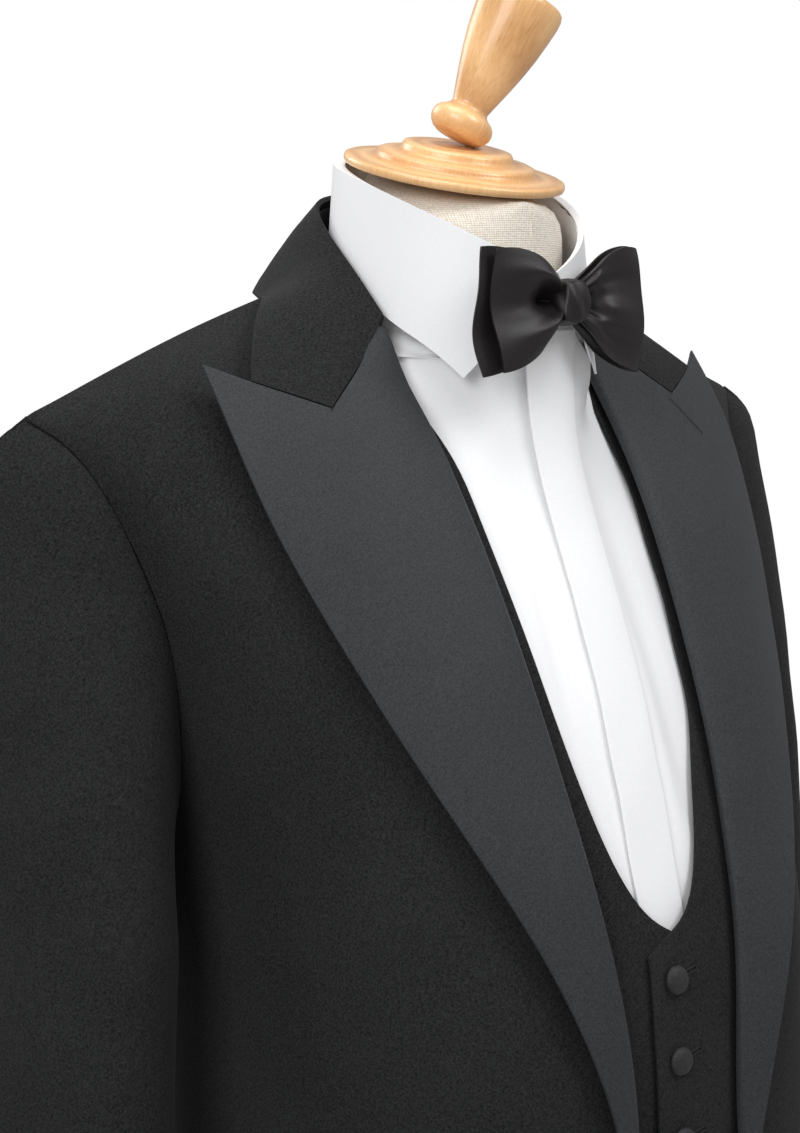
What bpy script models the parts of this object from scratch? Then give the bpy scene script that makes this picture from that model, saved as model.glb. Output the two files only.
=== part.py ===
# Tuxedo on a dress form. A peak-lapel dinner jacket is worn open over a low-cut waistcoat,
# a dress shirt and a bow tie, on a limbless linen form with a turned wooden cap, pole and base.
# Metres, +Z up. The form faces -Y, the wearer's left is +X, and the base stands on z = 0.
#
# The cloth pieces share one body surface. A place on it has two numbers: turn runs from 0 at
# the centre front over 1 at the side to 2 at the centre back, and lift runs from -1 at the hem
# over 0 at the chest line to 1 on the shoulder line.
import bpy
import bmesh
import numpy as np
from mathutils import Matrix, Vector

# Driving dimensions of the worn shape
chestLine = 1.120
hemLevel = 0.720
shoulderX = 0.245
neckX = 0.085
neckZ = 1.487
shoulderSlope = 0.30
neckSlope = 0.12
shoulderDrop = 0.60
frontSquare = 3.0
backSquare = 2.6
backFullness = 0.036

# height, half width, front, side and back of the jacket's outer face below the chest line
bodyRows = [
    (0.720, 0.196, -0.180, 0.004, 0.128),
    (0.850, 0.188, -0.186, 0.002, 0.124),
    (1.030, 0.164, -0.188, 0.000, 0.096),
    (1.120, 0.172, -0.187, 0.004, 0.110)]

# Thickness of the cloths, and the gap that parts two pieces at a seam
jacketWall = 0.0022
waistcoatWall = 0.0018
shirtWall = 0.0012
seamGap = 0.0003

# The jacket's side seams: height, turn of the front seam, turn of the back seam
sideSeamRows = [
    (0.720, 0.840, 1.300),
    (0.850, 0.840, 1.310),
    (1.005, 0.850, 1.325),
    (1.060, 0.865, 1.320),
    (1.115, 0.900, 1.290),
    (1.160, 0.955, 1.240),
    (1.205, 1.004, 1.190)]

# The jacket's armhole, from the shoulder point over the front and under the arm to the back:
# share of the way round, turn, lift
armholeRows = [
    (0.00, 1.000, 1.000),
    (0.03, 0.830, 0.975),
    (0.08, 0.775, 0.895),
    (0.14, 0.790, 0.785),
    (0.20, 0.800, 0.690),
    (0.26, 0.812, 0.590),
    (0.34, 0.865, 0.460),
    (0.40, 0.925, 0.345),
    (0.46, 1.004, 0.252),
    (0.50, 1.070, 0.222),
    (0.57, 1.190, 0.262),
    (0.63, 1.245, 0.370),
    (0.70, 1.265, 0.490),
    (0.78, 1.255, 0.620),
    (0.85, 1.225, 0.740),
    (0.91, 1.180, 0.850),
    (0.96, 1.110, 0.945),
    (1.00, 1.000, 1.000)]

# The jacket front below the armhole: x and height of the front edge, height at the side seam
jacketFrontLow = [
    (0.150, 0.727, 0.722),
    (0.112, 0.743, 0.745),
    (0.086, 0.780, 0.785),
    (0.063, 0.850, 0.850),
    (0.048, 0.930, 0.930),
    (0.040, 1.010, 1.005),
    (0.039, 1.060, 1.060),
    (0.044, 1.115, 1.115),
    (0.049, 1.160, 1.160)]

# Beside the armhole: x and height of the roll line, share of the armhole
jacketFrontHigh = [
    (0.0540, 1.205, 0.46),
    (0.0560, 1.228, 0.42),
    (0.0580, 1.252, 0.38),
    (0.0595, 1.276, 0.34),
    (0.0615, 1.305, 0.29),
    (0.0630, 1.335, 0.24),
    (0.0645, 1.362, 0.19),
    (0.0660, 1.388, 0.14),
    (0.0670, 1.412, 0.09),
    (0.0685, 1.435, 0.05),
    (0.0720, 1.459, 0.02),
    (0.0770, 1.474, 0.01),
    (0.0850, 1.500, 0.00)]

# The back beside the armhole: height of the centre seam, share of the armhole
jacketBackHigh = [
    (1.208, 0.57),
    (1.242, 0.62),
    (1.276, 0.67),
    (1.310, 0.72),
    (1.344, 0.77),
    (1.376, 0.82),
    (1.408, 0.87),
    (1.436, 0.91),
    (1.460, 0.95),
    (1.476, 0.98),
    (1.488, 1.00)]
backNeckY = 0.052

# The lapel, from the break point up: share, x and height of the roll line,
# x and height of the outer edge, float of the outer edge over the front
lapelRows = [
    (0.00, 0.0398, 1.018, 0.0425, 1.014, 0.0030),
    (0.08, 0.0391, 1.058, 0.0490, 1.052, 0.0072),
    (0.16, 0.0424, 1.100, 0.0615, 1.094, 0.0095),
    (0.25, 0.0472, 1.145, 0.0790, 1.140, 0.0100),
    (0.35, 0.0530, 1.197, 0.1025, 1.194, 0.0092),
    (0.46, 0.0575, 1.245, 0.1230, 1.242, 0.0085),
    (0.57, 0.0612, 1.302, 0.1430, 1.297, 0.0080),
    (0.70, 0.0640, 1.350, 0.1570, 1.342, 0.0080),
    (0.82, 0.0660, 1.385, 0.1660, 1.380, 0.0090),
    (0.92, 0.0675, 1.420, 0.1690, 1.411, 0.0110),
    (1.00, 0.0705, 1.456, 0.1680, 1.438, 0.0140)]
# The lapel's top edge from the roll line to the peak: share, x, height
lapelTop = [
    (0.00, 0.0705, 1.4560),
    (0.25, 0.0940, 1.4370),
    (0.47, 0.1170, 1.4180),
    (0.80, 0.1500, 1.4300),
    (1.00, 0.1680, 1.4380)]
lapelColumns = [0.0, 0.05, 0.15, 0.3, 0.47, 0.63, 0.8, 1.0]
rollLip = [(0.0034, -0.0016), (0.0038, 0.0012), (0.0022, 0.0038)]
lapelFloat = 0.0048
topBlend = 0.68
lapelEndGap = 0.0006

# The jacket collar, from the lapel to the centre back: fold x, y and z,
# x of the leaf's edge, its lift, and 1 in front of the shoulder seam or 0 behind it
collarRows = [
    (0.0705, -0.0520, 1.4700, 0.1330, 0.958, 1),
    (0.0720, -0.0360, 1.4890, 0.1160, 0.985, 1),
    (0.0708, -0.0160, 1.5080, 0.1000, 1.000, 1),
    (0.0655, 0.0070, 1.5250, 0.0850, 0.987, 0),
    (0.0525, 0.0270, 1.5340, 0.0650, 0.966, 0),
    (0.0290, 0.0410, 1.5390, 0.0370, 0.947, 0),
    (0.0000, 0.0445, 1.5400, 0.0000, 0.938, 0)]
collarFloat = 0.0070
collarCrown = 0.0030
collarNotch = 0.80
collarStandFrom = 2

# The sleeve below the arm: height, centre x, centre y, half width, half depth
sleeveRows = [
    (0.800, 0.2520, -0.0180, 0.0350, 0.0440),
    (0.880, 0.2490, -0.0050, 0.0385, 0.0480),
    (0.980, 0.2445, 0.0080, 0.0425, 0.0530),
    (1.080, 0.2385, 0.0140, 0.0470, 0.0590),
    (1.150, 0.2325, 0.0150, 0.0500, 0.0630)]
sleeveLevels = [1.150, 1.080, 1.010, 0.940, 0.870, 0.800]
capSteps = [0.0, 0.10, 0.24, 0.42, 0.64, 0.84]
sleeveFrontSeam = 0.42
sleeveBackSeam = 0.72
armholeGap = 0.0012

# The waistcoat fronts: x and height of the edge, turn and height of the armhole or side seam
waistcoatRows = [
    (-0.0195, 0.975, 1.000, 0.985),
    (-0.0195, 1.015, 1.000, 1.020),
    (-0.0195, 1.060, 1.000, 1.060),
    (-0.0195, 1.120, 1.000, 1.110),
    (-0.0195, 1.146, 1.000, 1.140),
    (-0.0070, 1.153, 0.900, 1.160),
    (0.0110, 1.161, 0.807, 1.175),
    (0.0250, 1.180, 0.720, 1.195),
    (0.0350, 1.208, 0.620, 1.220),
    (0.0410, 1.238, 0.543, 1.250),
    (0.0455, 1.270, 0.488, 1.280),
    (0.0480, 1.300, 0.460, 1.305),
    (0.0505, 1.330, 0.430, 1.330),
    (0.0530, 1.358, 0.404, 1.355),
    (0.0565, 1.385, 0.385, 1.380),
    (0.0605, 1.410, 0.378, 1.402),
    (0.0655, 1.434, 0.377, 1.422),
    (0.0745, 1.457, 0.376, 1.437),
    (0.0770, 1.476, 0.375, 1.453),
    (0.0780, 1.500, 0.375, 1.480)]
underEdgeX = 0.0120
waistcoatPoint = 0.026
waistcoatCentreOut = -0.0044
waistcoatSideOut = -0.0075
overlapRise = 0.0027
# The waistcoat back: height of the centre, turn and height of the side
waistcoatBackRows = [
    (0.985, 1.000, 0.985),
    (1.020, 1.000, 1.020),
    (1.060, 1.000, 1.060),
    (1.110, 1.000, 1.110),
    (1.140, 1.000, 1.140),
    (1.200, 1.220, 1.190),
    (1.255, 1.400, 1.250),
    (1.310, 1.490, 1.310),
    (1.360, 1.545, 1.360),
    (1.400, 1.580, 1.398),
    (1.434, 1.600, 1.425),
    (1.461, 1.609, 1.445),
    (1.483, 1.614, 1.480)]
waistcoatNeckX = 0.078

# The shirt front: height of the centre edge, or degrees round the neck ring above it,
# then turn and height of the side seam or armhole
shirtRows = [
    (0.760, 1.000, 0.770),
    (0.880, 1.000, 0.880),
    (0.965, 1.000, 0.965),
    (1.020, 1.000, 1.020),
    (1.070, 1.000, 1.070),
    (1.120, 1.000, 1.120),
    (1.180, 0.960, 1.170),
    (1.240, 0.800, 1.220),
    (1.300, 0.700, 1.275),
    (1.345, 0.640, 1.330),
    (1.385, 0.600, 1.380),
    (1.420, 0.580, 1.410),
    (1.452, 0.560, 1.428)]
shirtNeckRows = [
    (22.0, 0.540, 1.436),
    (44.0, 0.520, 1.440),
    (66.0, 0.510, 1.444),
    (88.0, 0.505, 1.460),
    (110.0, 0.500, 1.470)]
shirtBackRows = [
    (0.760, 1.000, 0.770),
    (0.880, 1.000, 0.880),
    (0.965, 1.000, 0.965),
    (1.020, 1.000, 1.020),
    (1.070, 1.000, 1.070),
    (1.120, 1.000, 1.120),
    (1.190, 1.060, 1.180),
    (1.260, 1.280, 1.250),
    (1.330, 1.400, 1.320),
    (1.395, 1.440, 1.380),
    (1.450, 1.460, 1.418),
    (1.470, 1.480, 1.438),
    (1.484, 1.483, 1.4455)]
shirtCentreOut = -0.0086
shirtSideOut = -0.0138
shirtShoulderOut = -0.0176
placketOut = -0.0071
placketRise = 0.0016
placketLift = 1.360
shoulderSeamGap = 0.0007
# The fronts' columns: x of the centre edge and of the placket's edge, then shares to the side
shirtEdgeX = 0.0060
placketHalf = 0.0158
shirtColumns = [0.0, 0.1, 0.25, 0.46, 0.71, 1.0]
shirtBackColumns = [0, 0.1, 0.22, 0.34, 0.46, 0.58, 0.68, 0.8, 0.9, 1]
backRingDegrees = [133.0, 157.0, 180.0]
# The shirt stands outside the collar's ring from here up, over this height
neckRoot = 1.395
neckRise = 0.035
# How far the shirt front stands forward at the centre: height, distance
bulgeRows = [
    (1.180, 0.0000), (1.240, 0.0050), (1.300, 0.0095), (1.345, 0.0125),
    (1.380, 0.0165), (1.420, 0.0330), (1.452, 0.0520)]
bulgeReach = 0.053

# The neck: centre, linen radius, and the inner face of the shirt collar's stand
neckY = -0.029
neckRadius = 0.058
neckFoot = 0.0538
neckFootEnd = 1.455
neckWiden = 0.040
ringY = -0.032
ringWide = 0.0598
ringFront = 0.0680
ringBack = 0.0618
leafRise = 0.0026
# The shirt collar round the neck: degrees from the front, height of the stand's lower edge,
# height of the fold, height of the leaf's edge
shirtCollarRows = [
    (0.0, 1.4530, 1.4850, 1.4100),
    (18.0, 1.4560, 1.4950, 1.4200),
    (44.0, 1.4655, 1.5110, 1.4350),
    (54.0, 1.4700, 1.5170, 1.4475),
    (72.0, 1.4780, 1.5280, 1.4630),
    (95.0, 1.4870, 1.5400, 1.4840),
    (125.0, 1.4960, 1.5510, 1.5020),
    (155.0, 1.5010, 1.5570, 1.5100),
    (180.0, 1.5020, 1.5590, 1.5120)]
footFlare = 0.0020
leafFlare = 0.0042
backRise = 0.0032
leafStart = 4.0
leafTip = 44.0

# Buttons
waistcoatButtonX = -0.004
waistcoatButtonHeights = [1.132, 1.091, 1.050, 1.009]
waistcoatButtonRadius = 0.0073
jacketButtonPlace = (0.062, 1.030)
jacketButtonRadius = 0.0105

# The bow: centre, half sizes of the knot
bowY = -0.1136
bowZ = 1.472
bowKnot = (0.0080, 0.0104, 0.0118)
# One wing from the knot out: share, x, half height, height of its middle, depth of the folds
bowRows = [
    (0.00, 0.0084, 0.0092, 0.0000, 0.0018),
    (0.20, 0.0135, 0.0125, -0.0004, 0.0028),
    (0.45, 0.0235, 0.0215, -0.0014, 0.0034),
    (0.70, 0.0365, 0.0290, -0.0026, 0.0026),
    (0.88, 0.0460, 0.0315, -0.0036, 0.0016),
    (1.00, 0.0512, 0.0315, -0.0042, 0.0010)]
bowCloth = 0.0022
# The layers of each wing: distance behind the bow's middle, size
bowLayers = {"front": (-0.0036, 1.00), "back": (0.0036, 1.12)}
wingForward = 0.0030

# The form: height, half width, front and back of the padded body
formRows = [
    (0.790, 0.138, -0.113, 0.088),
    (0.880, 0.146, -0.134, 0.090),
    (1.030, 0.136, -0.148, 0.068),
    (1.120, 0.144, -0.154, 0.080),
    (1.215, 0.152, -0.144, 0.100),
    (1.300, 0.158, -0.112, 0.110),
    (1.360, 0.156, -0.080, 0.100),
    (1.400, 0.134, -0.058, 0.078),
    (1.430, 0.094, -0.043, 0.052),
    (1.452, 0.060, -0.034, 0.030),
    (1.470, 0.040, -0.020, 0.010),
    (1.560, 0.020, -0.010, 0.000)]
formHeights = [0.790, 0.850, 0.930, 1.030, 1.120, 1.180, 1.240, 1.300, 1.350, 1.385, 1.412,
               1.434, 1.452, 1.470, 1.500]
neckTop = 1.5430
capTilt = 16.5
knobLean = 24.0
capRadius = 0.060
baseRadius = 0.175
poleRadius = 0.016

materialColours = {
    "wool": ((0.018, 0.019, 0.021), 0.85, 0.0),
    "lapelFacing": ((0.030, 0.032, 0.037), 0.62, 0.0),
    "satin": ((0.020, 0.016, 0.020), 0.30, 0.0),
    "cotton": ((0.86, 0.86, 0.87), 0.80, 0.0),
    "linen": ((0.78, 0.74, 0.66), 0.90, 0.0),
    "beech": ((0.76, 0.50, 0.28), 0.35, 0.0),
    "covered": ((0.022, 0.022, 0.026), 0.60, 0.0)}


def clearScene():
    for thing in list(bpy.data.objects):
        bpy.data.objects.remove(thing, do_unlink=True)


def makeMaterial(name):
    colour, roughness, metallic = materialColours[name]
    material = bpy.data.materials.get(name) or bpy.data.materials.new(name)
    material.use_nodes = True
    shader = material.node_tree.nodes["Principled BSDF"]
    shader.inputs["Base Color"].default_value = (*colour, 1.0)
    shader.inputs["Roughness"].default_value = roughness
    shader.inputs["Metallic"].default_value = metallic
    material.diffuse_color = (*colour, 1.0)
    return material


def addObject(name, mesh, materialName):
    thing = bpy.data.objects.new(name, mesh)
    partCollection.objects.link(thing)
    mesh.materials.append(makeMaterial(materialName))
    mesh.shade_smooth()
    mesh.set_sharp_from_angle(angle=np.radians(40))
    return thing


def flow(rows, column, at):
    """Value of a column at a value of the first column, on a smooth curve through the rows."""
    keys = np.array([row[0] for row in rows])
    values = np.array([row[column] for row in rows])
    slope = np.gradient(values, keys)
    at = np.clip(at, keys[0], keys[-1])
    i = np.clip(np.searchsorted(keys, at) - 1, 0, len(keys) - 2)
    step = keys[i + 1] - keys[i]
    f = (at - keys[i]) / step
    return (values[i] * (1 + 2 * f) * (1 - f) ** 2 + slope[i] * step * f * (1 - f) ** 2
            + values[i + 1] * f * f * (3 - 2 * f) + slope[i + 1] * step * f * f * (f - 1))


def easing(share):
    share = np.clip(share, 0, 1)
    return share * share * (3 - 2 * share)


def shoulderHeight(x):
    d = np.abs(x) - neckX
    beyond, within = np.maximum(d, 0), np.minimum(d, 0)
    return neckZ - shoulderSlope * beyond - shoulderDrop * beyond ** 2 - neckSlope * within


def bodyWidth(lift):
    low = chestLine + np.minimum(lift, 0) * (chestLine - hemLevel)
    high = np.clip(lift, 0, 1)
    return flow(bodyRows, 1, low) + (shoulderX - bodyRows[-1][1]) * high ** 2


def bodyPoint(turn, lift, out=0.0):
    """Point of the body surface, or of the layer that lies out outside it."""
    turn, lift = np.broadcast_arrays(np.asarray(turn, float), np.asarray(lift, float))
    low = chestLine + np.minimum(lift, 0) * (chestLine - hemLevel)
    high = np.clip(lift, 0, 1)
    width = bodyWidth(lift) + out
    side = flow(bodyRows, 3, low) + 0.006 * high
    front = (side - flow(bodyRows, 2, low) + out) * (1 - high ** 1.3) ** 0.606
    backDepth = flow(bodyRows, 4, low) - side + backFullness * easing(high / 0.6) + out
    back = backDepth * (1 - high ** 6) ** 0.55
    angle = np.radians(90 * turn)
    square = np.where(turn <= 1, frontSquare, backSquare)
    across = np.abs(np.sin(angle)) ** square + np.abs(np.cos(angle)) ** square
    reach = across ** (-1 / square)
    x = width * reach * np.sin(angle)
    y = side - np.where(turn <= 1, front, back) * reach * np.cos(angle)
    z = np.where(lift <= 0, low, chestLine + high * (shoulderHeight(x) + out - chestLine))
    return np.stack([x, y, z], -1)


def bodyNormal(turn, lift, out=0.0):
    """Outward normal of the body surface. On the shoulder line it leans neither way."""
    tiny = 0.002
    along = bodyPoint(turn + tiny, lift, out) - bodyPoint(turn - tiny, lift, out)
    up = bodyPoint(turn, lift + tiny, out) - bodyPoint(turn, lift - tiny, out)
    normal = np.cross(along, up)
    onRidge = np.asarray(lift) > 0.999
    normal[..., 1] = np.where(onRidge, 0.0, normal[..., 1])
    return normal / np.linalg.norm(normal, axis=-1, keepdims=True)


def turnAt(x, lift, square):
    u = np.minimum(np.abs(x) / bodyWidth(lift), 1)
    share = np.arctan2(u, (1 - u ** square) ** (1 / square)) / np.radians(90)
    return np.sign(x) * share


def findPlace(height, x=None, turn=None):
    """(turn, lift) of the front at an x and a height, or of any place at a turn and a height."""
    if height <= chestLine:
        lift = (height - chestLine) / (chestLine - hemLevel)
        return (turn if x is None else float(turnAt(x, lift, frontSquare))), lift
    lift = 0.5
    for _ in range(40):
        at = turn if x is None else float(turnAt(x, lift, frontSquare))
        px = float(bodyPoint(at, lift)[0])
        lift = min((height - chestLine) / (float(shoulderHeight(px)) - chestLine), 1.0)
    return at, lift


def armhole(share):
    return float(flow(armholeRows, 1, share)), float(flow(armholeRows, 2, share))


def frontSeam(height):
    return findPlace(height, turn=float(flow(sideSeamRows, 1, height)))


def backSeam(height):
    return findPlace(height, turn=float(flow(sideSeamRows, 2, height)))


def between(first, last, shares):
    """Places from one (turn, lift) to another, as rows of places."""
    first, last, shares = np.array(first), np.array(last), np.array(shares)
    return first[:, None, :] + (last - first)[:, None, :] * shares[None, :, None]


def closeShell(name, outer, inner, materialName):
    """A closed wall between two grids of points, with its seam edges square to the cloth."""
    rows, columns = outer.shape[:2]
    points = np.concatenate([outer.reshape(-1, 3), inner.reshape(-1, 3)])
    back = rows * columns
    faces = []
    for i in range(rows - 1):
        for j in range(columns - 1):
            a, b = i * columns + j, i * columns + j + 1
            c, d = b + columns, a + columns
            faces.append((a, b, c, d))
            faces.append((back + a, back + d, back + c, back + b))
    edge = [j for j in range(columns)]
    edge += [i * columns + columns - 1 for i in range(1, rows)]
    edge += [(rows - 1) * columns + j for j in range(columns - 2, -1, -1)]
    edge += [i * columns for i in range(rows - 2, 0, -1)]
    for k, a in enumerate(edge):
        b = edge[(k + 1) % len(edge)]
        faces.append((b, a, back + a, back + b))
    mesh = bpy.data.meshes.new(name)
    mesh.from_pydata(points.tolist(), [], faces)
    work = bmesh.new()
    work.from_mesh(mesh)
    bmesh.ops.recalc_face_normals(work, faces=work.faces)
    bmesh.ops.triangulate(work, faces=work.faces, quad_method="FIXED")
    if work.calc_volume(signed=True) < 0:
        bmesh.ops.reverse_faces(work, faces=work.faces)
    work.to_mesh(mesh)
    work.free()
    return addObject(name, mesh, materialName)


def pullEdges(grid, sides="lrbt", distance=seamGap / 2):
    """Moves the grid's edges in by half a seam gap: left, right, bottom and top."""
    grid = grid.copy()
    moves = {"l": ((slice(None), 0), (slice(None), 1)), "r": ((slice(None), -1), (slice(None), -2)),
             "b": ((0,), (1,)), "t": ((-1,), (-2,))}
    for side in sides:
        edge, beside = moves[side]
        step = grid[beside] - grid[edge]
        grid[edge] += step / np.linalg.norm(step, axis=-1, keepdims=True) * distance
    return grid


def mirrored(grid):
    return grid[:, ::-1] * np.array([-1.0, 1.0, 1.0])


def makePair(name, outer, inner, materialName):
    """A piece on the wearer's left and the same one on the right."""
    closeShell(name + "_left", outer, inner, materialName)
    closeShell(name + "_right", mirrored(outer), mirrored(inner), materialName)


def panel(places, out, wall, sides="lrbt"):
    """Outer and inner points of a cloth panel from its places on the body."""
    turn, lift = places[..., 0], places[..., 1]
    outer = bodyPoint(turn, lift, out)
    inner = outer - bodyNormal(turn, lift, out) * wall
    return pullEdges(outer, sides), pullEdges(inner, sides)


def jacketFront():
    inside = [findPlace(z, x=x) for x, z, _ in jacketFrontLow]
    inside += [findPlace(z, x=x) for x, z, _ in jacketFrontHigh]
    outside = [frontSeam(z) for _, _, z in jacketFrontLow]
    outside += [armhole(share) for _, _, share in jacketFrontHigh]
    places = between(inside, outside, [0, 0.14, 0.3, 0.46, 0.6, 0.74, 0.87, 1])
    return panel(places, 0.0, jacketWall)


def jacketSide():
    heights = [row[2] for row in jacketFrontLow]
    inside = [frontSeam(z) for z in heights] + [armhole(0.46)]
    outside = [backSeam(z) for z in heights] + [armhole(0.57)]
    shares = np.linspace(0, 1, 4)
    places = between(inside, outside, shares)
    places[-1] = [armhole(0.46 + 0.11 * share) for share in shares]
    return panel(places, 0.0, jacketWall)


def jacketBack():
    heights = [row[2] for row in jacketFrontLow]
    inside = [backSeam(z) for z in heights] + [armhole(share) for _, share in jacketBackHigh]
    outside = [findPlace(z, turn=2.0) for z in heights + [z for z, _ in jacketBackHigh]]
    places = between(inside, outside, [0, 0.15, 0.31, 0.47, 0.63, 0.782, 0.85, 0.92, 1])
    dipNeck(places, neckX, backNeckY, 0.0)
    return panel(places, 0.0, jacketWall)


def dipNeck(places, atX, neckBack, out):
    """Bends a back panel's last rows to the round neckline, inside the side neck point."""
    crest = bodyPoint(1.999, 0.5, out)
    depth = crest[1] - bodyPoint(1.0, 0.5, out)[1]
    last = places[-1].copy()
    for j, (turn, _) in enumerate(last):
        x = float(bodyPoint(turn, 1.0, out)[0])
        if x < atX:
            y = neckBack * np.sqrt(max(1 - (x / atX) ** 2, 0))
            share = min(max(y / depth, 0), 1)
            last[j, 1] = (1 - share ** (1 / 0.55)) ** (1 / 6)
        else:
            last[j, 1] = 1.0
    drop = last[:, 1] - places[-1][:, 1]
    for back, weight in ((1, 1.0), (2, 0.6), (3, 0.25)):
        places[-back, :, 1] += drop * weight


def ringShares():
    shares = [share for _, _, share in reversed(jacketFrontHigh)]
    shares += [0.46 + 0.11 * k / 3 for k in (1, 2)]
    shares += [share for _, share in jacketBackHigh[:-1]]
    return shares


def sleeveRing(height, share):
    angle = 2 * np.pi * share
    x = flow(sleeveRows, 1, height) + flow(sleeveRows, 3, height) * np.cos(angle)
    y = flow(sleeveRows, 2, height) - flow(sleeveRows, 4, height) * np.sin(angle)
    return np.array([x, y, height])


def sleeveColumn(share):
    """Points of the sleeve's outer face from the armhole down to the cuff."""
    turn, lift = armhole(share % 1.0)
    start = bodyPoint(turn, lift)
    end = sleeveRing(sleeveLevels[0], share)
    gap = np.linalg.norm(end - start)
    angle = 2 * np.pi * share
    away = np.array([0.75, -0.60 * np.sin(angle), 0.35 * np.cos(angle)])
    away /= np.linalg.norm(away)
    top = 0.5 + 0.5 * np.cos(angle)
    leave = (away * (0.20 + 0.03 * top) + np.array([1.0, 0, 0]) * (0.12 + 0.24 * top)
             + np.array([0, 0, -1.0]) * (0.70 - 0.34 * top)) * gap
    arrive = np.array([0, 0, -1.0]) * gap * 1.1
    points = []
    for f in capSteps:
        points.append(start * (1 + 2 * f) * (1 - f) ** 2 + leave * f * (1 - f) ** 2
                      + end * f * f * (3 - 2 * f) + arrive * f * f * (f - 1))
    for height in sleeveLevels:
        points.append(sleeveRing(height, share))
    return points


def gridNormals(grid, towards):
    """Normals of a grid of points, on the side of a given direction at each point."""
    normal = np.cross(np.gradient(grid, axis=0), np.gradient(grid, axis=1))
    normal /= np.linalg.norm(normal, axis=-1, keepdims=True)
    if np.mean((normal * towards).sum(-1)) < 0:
        normal = -normal
    return normal


def sleeves():
    shares = ringShares()
    ring = np.array([sleeveColumn(share) for share in shares]).transpose(1, 0, 2)
    looped = np.concatenate([ring[:, -1:], ring, ring[:, :1]], axis=1)
    normal = gridNormals(looped, looped - ring.mean(axis=1, keepdims=True))[:, 1:-1]
    edge = np.array([armhole(share) for share in shares])
    top = np.maximum(np.cos(2 * np.pi * np.array(shares)), 0)[:, None]
    normal[0] = normal[0] * (1 - top) + bodyNormal(edge[:, 0], edge[:, 1]) * top
    normal[0] /= np.linalg.norm(normal[0], axis=-1, keepdims=True)
    inner = ring - normal * jacketWall
    first, last = shares.index(sleeveFrontSeam), shares.index(sleeveBackSeam)
    under = list(range(first, last + 1))
    top = list(range(last, len(shares))) + list(range(0, first + 1))
    gap = seamGap + armholeGap * np.cos(np.pi * np.array(shares))[:, None] ** 80
    for name, chosen in (("sleeve_under", under), ("sleeve_top", top)):
        walls = [pullEdges(grid[:, chosen], "lr") for grid in (ring, inner)]
        makePair(name, *[pullEdges(grid, "b", gap[chosen]) for grid in walls], "wool")


def lapelPlaces(shares):
    """x, height and float of the lapel's points, a row for each share of the way up."""
    keys = [row[0] for row in lapelTop]
    topX = np.interp(lapelColumns, keys, [row[1] for row in lapelTop])
    topZ = np.interp(lapelColumns, keys, [row[2] for row in lapelTop])
    last = lapelRows[-1]
    rows = []
    for t in shares:
        x0, z0, x1, z1, rise = [float(flow(lapelRows, k, t)) for k in range(1, 6)]
        blend = float(easing((t - topBlend) / (1 - topBlend)))
        row = []
        for k, s in enumerate(lapelColumns):
            x = x0 + (x1 - x0) * s + (topX[k] - last[1] - (last[3] - last[1]) * s) * blend
            z = z0 + (z1 - z0) * s + (topZ[k] - last[2] - (last[4] - last[2]) * s) * blend
            row.append((x, z, lapelFloat + (rise - lapelFloat) * s))
        rows.append(row)
    return rows


def lapelGrid(shares):
    """Points and normals of the lapel. Its first columns roll over the front's edge."""
    grid, walls = [], []
    for row in lapelPlaces(shares):
        points, normals = [], []
        for x, z, rise in row:
            turn, lift = findPlace(z, x=x)
            normal = bodyNormal(turn, lift)
            points.append(bodyPoint(turn, lift) + normal * rise)
            normals.append(normal)
        edge = points[0] - normals[0] * row[0][2]
        away = edge - (points[2] - normals[2] * row[2][2])
        away -= normals[0] * np.dot(away, normals[0])
        away /= np.linalg.norm(away)
        lip = [edge + away * ahead + normals[0] * rise for ahead, rise in rollLip]
        lipNormals = [away, away + normals[0] * 0.5, away * 0.5 + normals[0]]
        lipNormals = [normal / np.linalg.norm(normal) for normal in lipNormals]
        grid.append(lip + points[1:])
        walls.append(lipNormals + normals[1:])
    return np.array(grid), np.array(walls)


def lapels():
    shares = [0.0, 0.08, 0.17, 0.27, 0.37, 0.47, 0.57, 0.67, 0.76, 0.84, 0.92, 1.0]
    outer, normals = lapelGrid(shares)
    inner = outer - normals * jacketWall
    makePair("lapel", pullEdges(outer, "t", lapelEndGap), pullEdges(inner, "t", lapelEndGap),
             "lapelFacing")
    return outer[-1, 3:], normals[-1, 3:]


def mirrorRows(half):
    """A grid from one front edge round the back to the other, from its half."""
    return np.concatenate([half, (half[:-1] * np.array([-1.0, 1.0, 1.0]))[::-1]])


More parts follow.
